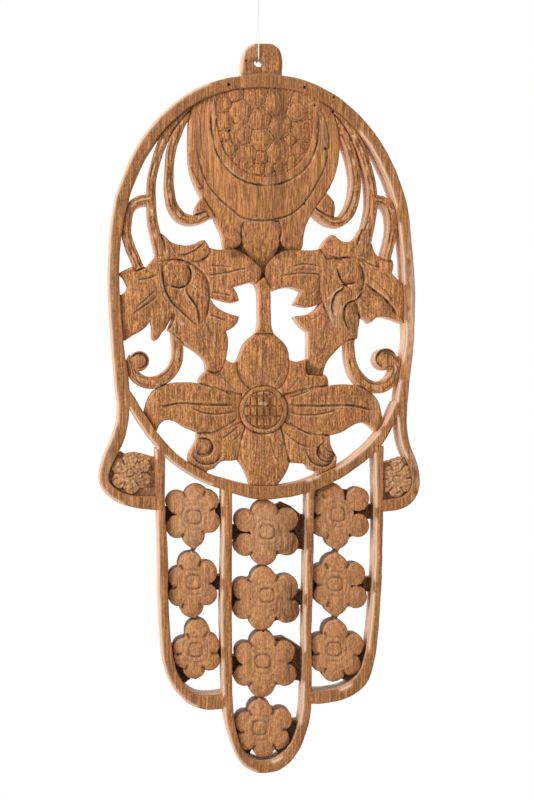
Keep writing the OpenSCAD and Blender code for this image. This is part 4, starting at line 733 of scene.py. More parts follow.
class Board:
    """What every region needs to know about the whole board: its front, its relief and its marks."""

    def __init__(self):
        self.solids = {name: cad_solid(name) for name in BOARD_NODES}
        corners = np.vstack([corners for corners, _ in self.solids.values()])
        self.low, self.high = corners.min(0), corners.max(0)
        self.tree = tree_of(*self.solids.values())
        self.frame_tree = tree_of(*(self.solids[name] for name in FRAME_NODES))
        self.make_relief()
        self.strokes = [(*cut, to_frame(smoothed(line))) for *cut, line in STROKES]
        self.folds = [(*fold, to_frame(smoothed(line))) for *fold, line in FOLDS]
        for boss, petals in ROSETTES:
            self.add_notches(boss, petals, *NOTCHES)
        for boss, petals in THUMB_ROSETTES:
            self.add_notches(boss, petals, *THUMB_NOTCHES)
        for x, z, *ring in LOTUS_RINGS:
            self.add_ring((x, z), *ring)
        for share, *ring in BOSS_RINGS:
            for boss, _ in ROSETTES:
                self.add_ring(boss, BOSS_RADIUS * share, *ring)
        for boss, _ in THUMB_ROSETTES:
            self.add_ring(boss, *THUMB_RING)

    def add_notches(self, boss, petals, start, beyond, cut):
        """A short V cut through each notch between two petals, pointing at the boss."""
        for first, second in zip(petals, petals[1:] + petals[:1]):
            away = (np.array(first[:2]) + second[:2]) / 2 - boss
            line = [boss + away * (1 + beyond / lengths(away)), boss + away * start]
            self.strokes.append((*cut, to_frame(resampled(line, 1.0))))

    def add_ring(self, middle, radius, square, width, depth, dark):
        """A closed groove round a boss."""
        ring = ring_line(radius, 32, square) + middle
        self.strokes.append((width, depth, dark, to_frame(np.vstack([ring, ring[:1]]))))

    def make_relief(self):
        """A map of how deep each place lies under the highest one near it."""
        low, high = self.low - RELIEF_MARGIN, self.high + RELIEF_MARGIN
        columns, rows = (np.arange(low[axis], high[axis], RELIEF_PITCH) for axis in (0, 2))
        grid = np.stack(np.meshgrid(columns, rows, indexing="ij"), -1).reshape(-1, 2)
        heights = front_heights(self.tree, grid).reshape(len(columns), len(rows))
        highest = np.where(np.isnan(heights), np.inf, heights)
        for axis in (0, 1):
            shifts = range(-RELIEF_CELLS, RELIEF_CELLS + 1)
            highest = np.minimum.reduce([np.roll(highest, shift, axis=axis) for shift in shifts])
        deep = np.where(np.isnan(heights), 0.0, heights - highest)
        beside = [np.roll(deep, shift, axis) for axis in (0, 1) for shift in (1, -1)]
        self.deep, self.origin = sum([deep, *beside]) / 5, (columns[0], rows[0])

    def depth_below(self, points):
        """How far each place lies under the highest one near it."""
        at = (points - self.origin) / RELIEF_PITCH
        cell = np.clip(at.astype(int), 0, np.array(self.deep.shape) - 2)
        (i, j), (u, v) = cell.T, np.clip(at - cell, 0, 1).T
        deep = self.deep
        left = deep[i, j] * (1 - v) + deep[i, j + 1] * v
        right = deep[i + 1, j] * (1 - v) + deep[i + 1, j + 1] * v
        return left * (1 - u) + right * u


def blobs(points, places):
    """How strongly a place lies in any of these soft ellipses; each has uneven edges of its own."""
    total = np.zeros(len(points))
    for x, z, wide, high, strength in places:
        reach = lengths((points - to_frame([(x, z)])[0]) / (wide, high))
        reach += 0.18 * waves(points, min(wide, high) * 1.6 + 1.0, int(abs(x * 13 + z * 7)) + 3)
        total = np.maximum(total, strength * np.clip(1.35 - reach, 0, 0.6) / 0.6)
    return total


def petal_shares(places, boss, petals):
    """Distance to the nearest petal's middle in its radii, which petal, and how straight ahead it lies."""
    middle, spots = to_frame([boss])[0], to_frame([petal[:2] for petal in petals])
    shares = lengths(places[:, None] - spots[None]) / np.array([petal[2] for petal in petals])
    nearest = shares.argmin(axis=1)
    ahead, toward = places - middle, (spots - middle)[nearest]
    heading = (ahead * toward).sum(1) / np.maximum(lengths(ahead) * lengths(toward), 1e-9)
    return shares.min(axis=1), nearest, heading


def seed_gaps(board, places):
    """How much farther each place is from its second nearest seed than from its nearest."""
    loops = outlines(*board.solids["pomegranate_seeds"])
    middles = np.array([loop.mean(axis=0) for loop in loops])
    radii = np.array([lengths(loop - middle).mean() for loop, middle in zip(loops, middles)])
    nearest = np.sort(lengths(places[:, None] - middles[None]) - radii, axis=1)
    return nearest[:, 1] - nearest[:, 0]


def kinds_of_edge(board, tree, loops, framing):
    """Places along the outlines, sorted by what lies beyond: nothing, or a lower, level or higher part.

    "left" are the free places that the window lights, and a frame's places that are level with another
    part of the frame are in none of the lists.
    """
    kinds = {"free": [], "left": [], "over": [], "level": [], "under": []}
    for loop in loops:
        dense = resampled(loop, EDGE_PITCH, closed=True)
        side = across(along(dense))
        own = front_heights(tree, dense + side * LOOK_IN)
        own = np.where(np.isnan(own), FRONT_Y, own)
        other = front_heights(board.tree, dense - side * LOOK_OUT)
        lower = other - own
        joined = np.zeros(len(dense), bool)
        if framing:
            joined = np.abs(front_heights(board.frame_tree, dense - side * LOOK_OUT) - own) <= LEVEL_STEP
        kinds["free"].append(dense[np.isnan(other)])
        kinds["left"].append(dense[np.isnan(other) & (side[:, 0] > LIT_TURN)])
        kinds["over"].append(dense[lower > LEVEL_STEP])
        kinds["level"].append(dense[(np.abs(lower) <= LEVEL_STEP) & ~joined])
        kinds["under"].append(dense[lower < -LEVEL_STEP])
    return {kind: np.vstack(found) for kind, found in kinds.items()}


def fold_marks(points, folds):
    """Fall, painted shade, and painted highlight by the crest, that the folds leave at each place."""
    fall, dark, pale_and_highlight = np.zeros((3, len(points)))
    for strength, reach, dim, line in folds:
        near = near_box(points, line, reach)
        if not len(near):
            continue
        distance, share, side = near_line(points[near], line)
        taper = np.clip(np.minimum(share, 1 - share) * 6 + 0.1, 0, 1)
        inside, lower = (share > 0) & (share < 1), side > 0
        slope = np.where(lower & inside, np.clip(1 - distance / reach, 0, 1) ** 1.5, 0.0)
        crest = np.where(~lower & inside, np.clip(1 - distance / CREST_WIDTH, 0, 1), 0.0)
        steep = FOLD_DEPTH * strength * taper * np.maximum(slope, 0.3 * crest ** 2)
        fall[near] = np.maximum(fall[near], steep)
        shade = soft(distance, FOOT_SHADE) + 0.3 * soft(distance, FOOT_HAZE)
        painted_fold_shade = np.where(lower, shade, soft(distance, UPPER_SHADE_LINE))
        dark[near] = np.maximum(dark[near], dim * taper * painted_fold_shade * inside)
        crest_highlight = np.where(lower, 0.0, soft(distance - CREST_HIGHLIGHT_PLACE, CREST_HIGHLIGHT_WIDTH)) * inside
        pale_and_highlight[near] = np.maximum(pale_and_highlight[near], 0.75 * dim * taper * crest_highlight)
    return fall, dark, pale_and_highlight


def stroke_marks(points, strokes):
    """Depth, painted shade in the groove and painted highlight along its lower side that the V tool leaves at
    each place.
    """
    depth, dark, pale_and_highlight = np.zeros((3, len(points)))
    for width, deep, dim, line in strokes:
        near = near_box(points, line, STROKE_MARGIN)
        if not len(near):
            continue
        distance, share, _ = near_line(points[near], line)
        closed = lengths(line[0] - line[-1]) < 0.1
        taper = 1.0 if closed else np.clip(np.minimum(share, 1 - share) * 7 + 0.25, 0, 1)
        half = width / 2
        depth[near] = np.maximum(depth[near], deep * taper * np.clip(1 - distance / half, 0, 1))
        dark[near] = np.maximum(dark[near], dim * taper * soft(distance, half * 0.55))
        below = near_line(points[near] + HIGHLIGHT_SHIFT, line)[0]
        pale_and_highlight[near] = np.maximum(pale_and_highlight[near], 0.7 * dim * taper * soft(below, HIGHLIGHT_REACH))
    return depth, dark, pale_and_highlight


def filled(points, edges, sources=False):
    """Places and triangles that fill closed outlines and, if asked, the points behind each place."""
    corners = [Vector(point) for point in points.tolist()]
    places, _, faces, found, _, _ = delaunay_2d_cdt(corners, edges, [], 2, 1e-5, sources)
    triangles = np.array([face for face in faces if len(face) == 3], np.int64)
    return np.array([tuple(place) for place in places]), triangles, found


def triangulated(points, edges, tree):
    """Places and triangles of the region inside the outlines, with the triangles facing the front."""
    places, triangles, _ = filled(points, edges)
    triangles = triangles[~np.isnan(front_heights(tree, places[triangles].mean(axis=1)))]
    used, numbers = np.unique(triangles, return_inverse=True)
    places, triangles = places[used], numbers.reshape(-1, 3)
    area = turned(*(places[triangles[:, i]] for i in range(3)))
    triangles[area < 0] = triangles[area < 0][:, ::-1]
    return places, triangles[np.abs(area) > 1e-7]


class Region:
    """One region of the board as the carver left it, worked out over its node of the frame."""

    def __init__(self, name, board, settings):
        corners, triangles = board.solids[name]
        self.name, self.board, self.settings = name, board, settings
        self.tree = tree_of((corners, triangles))
        self.loops = outlines(corners, triangles)
        self.back = corners[:, 1].max()
        self.places, self.triangles = self.front_mesh(step_rows(corners, triangles))
        self.rim = np.array(edges_once(self.triangles))
        self.inward = self.inward_at_rim()
        self.heights = self.own_heights()
        kinds = kinds_of_edge(board, self.tree, self.loops, name in FRAME_NODES)
        self.away = {kind: distances(self.places, found) for kind, found in kinds.items()}
        self.kept = 1 - blobs(self.places, FADED_JOINTS)
        self.uneven = self.patchy(9.0, UNEVEN, 0.8, 0.4, 0.3, 1.2) * self.kept
        self.bed = np.zeros(len(self.places), bool)
        self.ground = np.zeros(len(self.places), bool)
        self.gap = np.full(len(self.places), WIDE_GAP)

    def waves(self, length, offset):
        """A random field over the region."""
        return waves(self.places, length, self.settings.seed + offset)

    def patchy(self, length, offset, mean=0.0, share=1.0, low=0.0, high=1.0):
        """A random field round this mean that stays between a lowest and a highest value."""
        return np.clip(mean + share * self.waves(length, offset), low, high)

    def front_mesh(self, steps):
        """Places and triangles of the front: outlines, rows inside them, details and a grid between."""
        border, edges, rows, first = [], [], [], 0
        for loop in self.loops:
            line = resampled(loop, self.settings.outline_step * 1000, closed=True)
            edges += [(first + i, first + (i + 1) % len(line)) for i in range(len(line))]
            first += len(line)
            border.append(line)
            rows += [(line + across(along(line)) * depth, clear) for depth, clear in INNER_ROWS]
        border = np.vstack(border)
        low, high = border.min(0), border.max(0)
        rows.append((steps, STEP_CLEAR))
        for width, _, _, line in self.board.strokes:
            rows += rows_beside(line, low, high, (0, width / 2, -width / 2))
        if self.name in ROSETTE_NODES:
            for x, z, radius in ROSETTES[ROSETTE_NODES.index(self.name)][1]:
                middle = to_frame([(x, z)])[0]
                rows += [(middle + ring_line(radius * size, 60), DETAIL_CLEAR) for size in PETAL_ROWS]
        for _, _, _, line in self.board.folds:
            rows += rows_beside(line, low, high, FOLD_ROWS)
        outline = np.vstack([resampled(loop, EDGE_PITCH, closed=True) for loop in self.loops])
        detail = np.vstack([places for places, _ in rows])
        clear = np.concatenate([np.full(len(places), gap) for places, gap in rows])
        detail = detail[distances(detail, outline) > clear]
        detail = detail[~np.isnan(front_heights(self.tree, detail))]
        detail = detail[np.unique(np.round(detail / MERGED).astype(int), axis=0, return_index=True)[1]]
        grid = self.grid_places(low, high)
        grid = grid[distances(grid, outline) > GRID_CLEAR]
        grid = grid[distances(grid, detail) > GRID_DETAIL_CLEAR]
        return triangulated(np.vstack([border, detail, grid]), edges, self.tree)

    def grid_places(self, low, high):
        """A grid of triangles over the region, a little uneven so that no rows show."""
        pitch, seed = self.settings.grid * 1000, self.settings.seed
        rows = np.arange(low[1], high[1], pitch * 0.87)
        x, z = np.meshgrid(np.arange(low[0], high[0], pitch), rows)
        x = x + np.where(np.arange(len(rows)) % 2, pitch / 2, 0)[:, None]
        grid = np.stack([x.ravel(), z.ravel()], 1)
        stray = [waves(grid, 1.1, seed + STRAY_ACROSS), waves(grid, 1.3, seed + STRAY_UP)]
        grid = grid + np.stack(stray, 1) * GRID_STRAY
        return grid[~np.isnan(front_heights(self.tree, grid))]

    def inward_at_rim(self):
        """Unit vectors towards the inside at the rim's points, and nothing elsewhere."""
        total = np.zeros_like(self.places)
        inward = -across(self.places[self.rim[:, 1]] - self.places[self.rim[:, 0]])
        for end in (0, 1):
            np.add.at(total, self.rim[:, end], inward)
        return total / np.maximum(lengths(total), 1e-9)[:, None]

    def own_heights(self):
        """The region's own front; a place that sight misses takes the height of its nearest neighbour."""
        heights = front_heights(self.tree, self.places + self.inward * RIM_LOOK_IN)
        missing = np.isnan(heights)
        if missing.any():
            known, find = heights[~missing], place_tree(self.places[~missing]).find
            for i in np.flatnonzero(missing):
                x, z = self.places[i]
                heights[i] = known[find((x, 0.0, z))[1]]
        return heights

    def shape(self):
        """Gives the front the forms that the solids leave plain."""
        if self.name in ROSETTE_NODES:
            self.shape_rosette(*ROSETTES[ROSETTE_NODES.index(self.name)])
        if self.name == "pomegranate_husk":
            self.shape_seed_bed()
        if self.name.endswith("_bud"):
            self.heights = BUD_RELIEF * self.heights + (1 - BUD_RELIEF) * (FRONT_Y + BUD_DEPTH)

    def shape_rosette(self, boss, petals):
        """One shallow dome of six low mounds, with low ground between their tips."""
        away = lengths(self.places - to_frame([boss])[0])
        mound, petal, heading = petal_shares(self.places, boss, petals)
        dome = FRONT_Y + CROWN_DEPTH + away ** 2 / (2 * DOME_RADIUS)
        dome += np.where(away > BOSS_RADIUS, PETAL_FALL * np.clip(mound, 0, 1.3) ** 2, BOSS_STEP)
        ripples = RIPPLE_HEIGHT * np.sin(away * 2 * math.pi / RIPPLE_PITCH)
        dome += ripples * self.patchy(4.0, RIPPLES, mean=0.5, high=1.2)
        heights = np.where(self.heights < FRONT_Y + PETAL_FLOOR, dome, self.heights)
        pointed = np.isin(petal, POINTED_PETALS) & (heading > POINT_HEADING)
        outside = (mound > PETAL_END) & (away > POINT_START * BOSS_RADIUS) & ~pointed
        self.heights = np.where(outside, np.maximum(heights, FRONT_Y + GROUND_DEPTH), heights)
        self.ground = self.heights > FRONT_Y + PETAL_FLOOR

    def shape_seed_bed(self):
        """Fills the bed up between the seeds, all but a fine groove round each."""
        self.bed = (self.heights > FRONT_Y + BED_DEPTH) & (self.places[:, 1] > SEED_FLOOR - HOOK_HEIGHT)
        self.gap = np.where(self.bed, seed_gaps(self.board, self.places), WIDE_GAP)
        filled = FRONT_Y + BED_FILL + BED_GROOVE * soft(self.gap, BED_GROOVE_REACH)
        self.heights = np.where(self.bed, filled, self.heights)

    def cut(self, edge_round, mark, gouged):
        """Rounds the edges, cuts the joints, strokes and folds, and leaves tool marks and worm holes."""
        places, away, settings = self.places, self.away, self.settings
        drop = np.zeros(len(places))
        for kind, radius in (("free", edge_round * 1000), ("over", settings.step_round * 1000)):
            reach = np.clip(radius - away[kind], 0, radius)
            fall = radius - np.sqrt(np.maximum(radius ** 2 - reach ** 2, 0))
            drop = np.maximum(drop, fall * EDGE_ROUNDNESS)
        joint = np.clip(1 - away["level"] / (settings.joint_width * 1000), 0, 1)
        drop = np.maximum(drop, settings.joint_depth * 1000 * joint * self.uneven)
        # the strokes and folds leave painted shade and painted highlights
        depth, dark, pale_and_highlight = stroke_marks(places, self.board.strokes)
        fall, painted_fold_shade, crest = fold_marks(places, self.board.folds)
        drop = np.maximum(drop, depth) + fall
        dark = np.maximum(dark, painted_fold_shade) * self.patchy(5.0, STROKE_SHADE_PATCHES, 0.85, 0.45, 0.35, 1.1)
        pale_and_highlight = np.maximum(pale_and_highlight, crest)
        if self.name in VINE_NODES:
            # the vines' grooves are darkened with painted shade, and a pale line runs beside them
            groove = soft(away["free"] - GROOVE_PLACE, GROOVE_REACH) * self.patchy(7.0, GROOVES, 0.65, 0.6)
            drop += VINE_GROOVE * groove
            dark = np.maximum(dark, 0.75 * groove)
            lined = soft(away["free"] - VINE_LINE_PLACE, VINE_LINE_REACH)
            pale_and_highlight = np.maximum(pale_and_highlight, lined * self.patchy(5.0, GROOVE_LIPS))
        if gouged:
            nearest = np.minimum.reduce([away["free"], away["level"], away["over"]])
            drop += EDGE_SLOPE * np.exp(-nearest / SLOPE_REACH)
            drop += settings.chatter * 1000 * self.waves(1.1, CHATTER)
        fine = waves(places * (1.0, 0.45), 2.2, settings.seed + FINE_TOOL)
        tool = fine * 0.5 + self.waves(4.5, BROAD_TOOL) * 0.5
        drop += mark * 1000 * (tool + 1.0) * 0.5
        for x, z, radius in PIN_HOLES:
            hole = lengths(places - to_frame([(x, z)])[0]) / radius
            drop += HOLE_DEPTH * np.clip(1.4 - hole, 0, 1)
            dark = np.maximum(dark, np.clip((1.25 - hole) * 3, 0, 1))
        self.heights = np.clip(self.heights + drop, FRONT_Y, self.back - LEAST_THICKNESS)
        # dark holds the painted shade of the strokes, folds and grooves and the holes' dark; lines holds the
        # painted highlights below the strokes and by the folds' crests, and the vines' pale lines
        self.dark, self.lines = dark, pale_and_highlight

    def looks(self):
        """How much darker in its cuts (painted shade and grime), how orange at the edges, how chipped and
        highlighted, how stained and shadowed, and how much paler and lit the front is at each place, from 0
        to about 1.
        """
        away, thumb, framing = self.away, self.name in THUMB_NODES, self.name in FRAME_NODES
        pits = self.patchy(1.2, PITS)
        deep = np.clip((self.board.depth_below(self.places) - DEEP_PAINTED_SHADE) / DEEP_PAINTED_SHADE_REACH, 0, 1)
        # The cut value: painted shade in the strokes and folds, at the foot of higher regions, in deep
        # recesses and on the rosettes' low ground; dirt with painted shade in the joints and in the grooves
        # round the seeds; the holes' and the thumbs' dark pits.
        cut = np.maximum(self.dark, 0.85 * self.uneven * soft(away["level"], JOINT_DIRT_AND_SHADE))
        cut = np.maximum(cut, np.where(self.bed, 0.6, 0.85) * self.kept * soft(away["under"], FOOT_PAINTED_SHADE))
        cut = np.maximum(cut, deep * 0.95)
        cut = np.maximum(cut, np.where(self.ground, 0.72 + 0.28 * pits, 0.0))
        if thumb:
            cut = np.maximum(cut, 0.75 * self.patchy(1.7, THUMB_PITS, -0.25))
        grooves = np.maximum(0.9 * soft(self.gap, SEED_GROOVE_DIRT_AND_SHADE) * (0.4 + pits), 0.45 * pits)
        cut = np.where(self.bed, grooves + 0.45 * cut, cut)
        # an orange line along the free edges and the tops of steps
        worn = soft(away["free"], ORANGE_EDGE_REACH) + 0.8 * self.kept * soft(away["over"], ORANGE_EDGE_REACH)
        if self.name == "pomegranate_seeds":
            worn *= 0.4
        # pale lips beside the joints, the thumbs' chips and the chips between the seeds
        chip_and_highlight = soft(away["level"] - 0.62, 0.28) * self.patchy(3.0, LIPS)
        if thumb:
            chip_and_highlight = np.maximum(chip_and_highlight, self.patchy(1.7, THUMB_CHIPS, -0.2))
        chip_and_highlight = np.maximum(chip_and_highlight, soft(self.gap - 0.6, 0.25) * self.patchy(2.0, GAP_LIPS))
        # the frame's left edges catch the window's light, and its faces are a little darker
        lit, fading = (1.2, 0.95) if framing else (0.45, 0.6)
        # paler places, with painted highlights on the rim's rounded outer edges, and the window's painted
        # light on the left-facing edges
        bright = np.maximum(0.55 * blobs(self.places, PALE_AND_LIT_PLACES), lit * soft(away["left"], fading))
        # stains and painted shadows from the dark places, and the frame's slightly darker faces
        stain_and_shadow = np.maximum(blobs(self.places, DARK_AND_SHADOWED_PLACES), 0.26 if framing else 0.0)
        stain_and_shadow *= 1 - np.clip(bright, 0, 1)
        # and the painted highlights of the strokes and folds
        chip_and_highlight = np.maximum(chip_and_highlight, self.lines)
        return {"cut": cut, "worn": worn, "chip_and_highlight": chip_and_highlight, "stain_and_shadow": stain_and_shadow, "pale_and_highlight": bright}

    def whole(self):
        """Points and triangles of the front, the walls in rings and the back; and the rim's own points."""
        places, heights, rim, settings = self.places, self.heights, self.rim, self.settings
        stray = np.stack([self.waves(9.0, WOBBLE_ACROSS), self.waves(9.0, WOBBLE_UP)], 1)
        shift = settings.wobble * 1000 * stray
        order = np.unique(rim)
        ring_place = np.full(len(places), -1)
        ring_place[order] = np.arange(len(order))
        first, second = ring_place[rim].T
        edge, inward, high = places[order], self.inward[order], heights[order]
        layers = [np.insert(places + shift, 1, heights, axis=1)]
        faces, ring = [self.triangles], order
        for index, share in enumerate(WALL_SHARES):
            flat = edge + shift[order]
            if WALL_SHARES[0] < share < WALL_SHARES[-2]:
                ruffle = waves(edge + share * 31.7, 2.6, settings.seed + RUFFLE + index)
                flat = flat + RUFFLE_DEPTH * ruffle[:, None] * inward
            if share == 1.0:
                flat = flat + BACK_TUCK * inward
            layers.append(np.insert(flat, 1, high + (self.back - high) * share, axis=1))
            lower = len(places) + index * len(order) + np.arange(len(order))
            faces.append(np.column_stack([ring[second], ring[first], lower[first]]))
            faces.append(np.column_stack([ring[second], lower[first], lower[second]]))
            ring = lower
        outline = list(zip(first.tolist(), second.tolist()))
        faces.append(ring[self.back_triangles(edge, outline)])
        points = np.clip(np.vstack(layers), *self.box())
        return points, np.vstack(faces), order

    def box(self):
        """The board's box across and up; the depth is left free."""
        low, high = self.board.low.copy(), self.board.high.copy()
        low[1], high[1] = -np.inf, np.inf
        return low, high

    def back_triangles(self, edge, outline):
        """Triangles of the flat back between the rim's points."""
        _, triangles, found = filled(edge, outline, sources=True)
        source = np.array([points[0] if points else -1 for points in found])
        triangles = source[triangles]
        triangles = triangles[(triangles >= 0).all(axis=1)]
        inside = ~np.isnan(front_heights(self.tree, edge[triangles].mean(axis=1)))
        facing = turned(*(edge[triangles[:, i]] for i in range(3))) > 0
        triangles[facing] = triangles[facing][:, ::-1]
        return triangles[inside]


def carve(name, board, settings, material, step):
    """Makes one region of the board in the way of this step, over its node of the frame."""
    region = Region(name, board, settings)
    region.shape()
    edge_round = settings.frame_round if name in FRAME_NODES else settings.edge_round
    region.cut(edge_round, settings.tool_mark if step.gouged else settings.flat_mark, step.gouged)
    points, faces, order = region.whole()
    values = {}
    for key, value in region.looks().items():
        below = np.tile(value[order] * WALL_LOOKS.get(key, 0.0), len(WALL_SHARES))
        values[key] = np.concatenate([value, below])
    # The last ring belongs to the flat back, which is plain wood.
    front, back = slice(len(region.places)), slice(-len(order), None)
    side = np.ones(len(points))
    side[front] = side[back] = 0.0
    wall = side.copy()
    wall[front] = np.where(region.away["free"] < 0.05, 0.5, 0.0)
    broken = np.full(len(points), BROKEN_GRAIN[name])
    broken[back] = BACK_GRAIN
    # The side walls take a pale colour, brightened to stand for the light they catch, and a darker colour
    # round the flowers.
    values.update(wall=wall * (1 - step.soot), soot=side * step.soot, bare=np.full(len(points), step.bare),
                  broken=broken)
    piece = mesh_object(name + "_carved", points / 1000.0, faces, values, material)
    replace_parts(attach(piece, "board"), name)


def mesh_object(name, points, triangles, values, material):
    """A mesh object from arrays, with a value at each point for each name."""
    mesh = bpy.data.meshes.new(name)
    mesh.vertices.add(len(points))
    mesh.vertices.foreach_set("co", points.astype(np.float32).ravel())
    mesh.loops.add(len(triangles) * 3)
    mesh.loops.foreach_set("vertex_index", triangles.astype(np.int32).ravel())
    mesh.polygons.add(len(triangles))
    mesh.polygons.foreach_set("loop_start", np.arange(0, len(triangles) * 3, 3, dtype=np.int32))
    mesh.polygons.foreach_set("loop_total", np.full(len(triangles), 3, np.int32))
    mesh.update(calc_edges=True)
    mesh.validate()
    for key, value in values.items():
        mesh.attributes.new(key, "FLOAT", "POINT").data.foreach_set("value", value.astype(np.float32))
    mesh.materials.append(material)
    piece = bpy.data.objects.new(name, mesh)
    bpy.context.scene.collection.objects.link(piece)
    bpy.ops.object.select_all(action="DESELECT")
    piece.select_set(True)
    bpy.context.view_layer.objects.active = piece
    bpy.ops.object.shade_smooth_by_angle(angle=SHARP_ANGLE)
    return piece


class Nodes:
    """Short ways to add the nodes of a material or a world."""

    def __init__(self, owner):
        owner.use_nodes = True
        self.tree = owner.node_tree
        self.tree.nodes.clear()

    def add(self, kind, inputs=None, **settings):
        """Adds a node, sets its settings, and sets or links each of its inputs."""
        node = self.tree.nodes.new(kind)
        for name, value in settings.items():
            setattr(node, name, value)
        for key, value in (inputs or {}).items():
            if isinstance(value, bpy.types.NodeSocket):
                self.tree.links.new(value, node.inputs[key])
            else:
                node.inputs[key].default_value = value
        return node

    def value_of(self, name):
        """A value that the mesh holds at each point."""
        return self.add("ShaderNodeAttribute", attribute_name=name).outputs["Fac"]

    def maths(self, operation, a, b, c=0.0, clamp=False):
        """A sum of up to three numbers or sockets."""
        inputs = {0: a, 1: b, 2: c}
        return self.add("ShaderNodeMath", inputs, operation=operation, use_clamp=clamp).outputs[0]

    def vector_maths(self, operation, a, b, c=(0.0, 0.0, 0.0)):
        """A sum of up to three vectors or sockets."""
        return self.add("ShaderNodeVectorMath", {0: a, 1: b, 2: c}, operation=operation).outputs[0]

    def blended(self, share, a, b, blend="MIX"):
        """Two colours mixed by this share of the second; inputs 6 and 7 are the mix node's colours."""
        inputs = {0: share, 6: a, 7: b}
        return self.add("ShaderNodeMix", inputs, data_type="RGBA", blend_type=blend).outputs[2]

    def mapped(self, value, low, high, to_low, to_high):
        """A value moved from one range to another."""
        return self.add("ShaderNodeMapRange", {"Value": value, "From Min": low, "From Max": high,
                                               "To Min": to_low, "To Max": to_high}).outputs[0]

    def noise(self, vector, scale, output="Fac", **inputs):
        """Noise at this scale, in waves per metre."""
        return self.add("ShaderNodeTexNoise", {"Vector": vector, "Scale": scale, **inputs}).outputs[output]

    def stretched(self, vector, wide, long, **inputs):
        """Noise that is drawn out along the grain: its width and length in metres."""
        scaled = self.vector_maths("MULTIPLY", vector, (1 / wide, 1 / (wide * 1.3), 1 / long))
        return self.noise(scaled, 1.0, **inputs)

    def ramp(self, share, *stops):
        """A colour that runs through these stops, each a place (0 to 1, rising) and an sRGB colour."""
        node = self.add("ShaderNodeValToRGB", {"Fac": share})
        elements = node.color_ramp.elements
        for _ in range(len(stops) - 2):
            elements.new(0.5)
        for element, (position, code) in zip(elements, stops):
            element.position, element.color = position, linear(code)
        return node.outputs["Color"]


def hardwood(settings):
    """Close-grained brown hardwood, sawn to outline, carved with gouges and a V tool, then waxed."""
    material = bpy.data.materials.get("hand_carved_waxed_hardwood")
    if material:
        return material
    material = bpy.data.materials.new("hand_carved_waxed_hardwood")
    nodes = Nodes(material)
    place = nodes.add("ShaderNodeTexCoord").outputs["Object"]
    sway = nodes.noise(place, 55.0, "Color", Detail=2.0)
    swayed = nodes.vector_maths("MULTIPLY_ADD", sway, (0.0022, 0.0022, 0.0), place)
    fibre = nodes.stretched(swayed, settings.fibre_width, settings.fibre_length, Detail=3.0, Roughness=0.6)
    colour = grain_colour(nodes, place, swayed, fibre)
    pore = open_pores(nodes, swayed, settings)
    colour = nodes.blended(nodes.maths("MULTIPLY", pore, 0.62), colour, linear("6E4525"))
    colour, dirt_and_shade = finish_colour(nodes, place, swayed, colour)
    relief = nodes.maths("SUBTRACT", nodes.maths("MULTIPLY", fibre, 0.6), pore)
    bump = nodes.add("ShaderNodeBump", {"Strength": 0.55, "Distance": 0.00010, "Height": relief}).outputs[0]
    rough = nodes.maths("ADD", nodes.maths("MULTIPLY", dirt_and_shade, 0.25), settings.roughness, clamp=True)
    inputs = {"Base Color": colour, "Roughness": rough, "Normal": bump, "Specular IOR Level": 0.28}
    shader = nodes.add("ShaderNodeBsdfPrincipled", inputs)
    nodes.add("ShaderNodeOutputMaterial", {"Surface": shader.outputs[0]})
    return material


def grain_colour(nodes, place, swayed, fibre):
    """The wood's own colour: fibres, streaks and bands, broken up where a gouge has been."""
    tone = 0.5
    for source, weight in ((fibre, 2.2),
                           (nodes.stretched(swayed, 0.0011, 0.030, Detail=3.0, Roughness=0.6), 0.6),
                           (nodes.stretched(swayed, 0.0055, 0.16, Detail=2.0, Roughness=0.5), 0.4),
                           (nodes.noise(place, CLOUD_SCALE, Detail=3.0), 0.2)):
        tone = nodes.maths("MULTIPLY_ADD", nodes.maths("SUBTRACT", source, 0.5), weight, tone)
    for source, weight in ((nodes.stretched(place, 0.00034, 0.0017, Detail=2.0, Roughness=0.7), 1.25),
                           (nodes.noise(place, 1150.0, Detail=2.0, Roughness=0.7), 1.05)):
        share = nodes.maths("MULTIPLY", nodes.value_of("broken"), weight)
        tone = nodes.maths("MULTIPLY_ADD", nodes.maths("SUBTRACT", source, 0.5), share, tone)
    wood = nodes.ramp(tone, (0.12, "7A4925"), (0.5, "B47948"), (0.88, "E6AC70"))
    hue = nodes.ramp(nodes.noise(place, 210.0, Detail=3.0), (0.36, "BC8043"), (0.64, "BB7750"))
    return nodes.blended(0.6, wood, hue, "COLOR")


def open_pores(nodes, swayed, settings):
    """Open pores, cut along the grain, on all but the side walls."""
    spacing = (1 / settings.pore_width, 1 / settings.pore_width, 1 / settings.pore_length)
    scaled = nodes.vector_maths("MULTIPLY", swayed, spacing)
    cells = nodes.add("ShaderNodeTexVoronoi", {"Vector": scaled, "Scale": 1.0}, feature="F1")
    pore = nodes.mapped(cells.outputs["Distance"], 0.10, 0.26, 1.0, 0.0)
    chosen = nodes.add("ShaderNodeSeparateColor", {"Color": cells.outputs["Color"]}).outputs[0]
    pore = nodes.maths("MULTIPLY", pore, nodes.maths("GREATER_THAN", chosen, 0.42))
    return nodes.maths("MULTIPLY", pore, nodes.maths("SUBTRACT", 1.0, nodes.value_of("wall"), clamp=True))


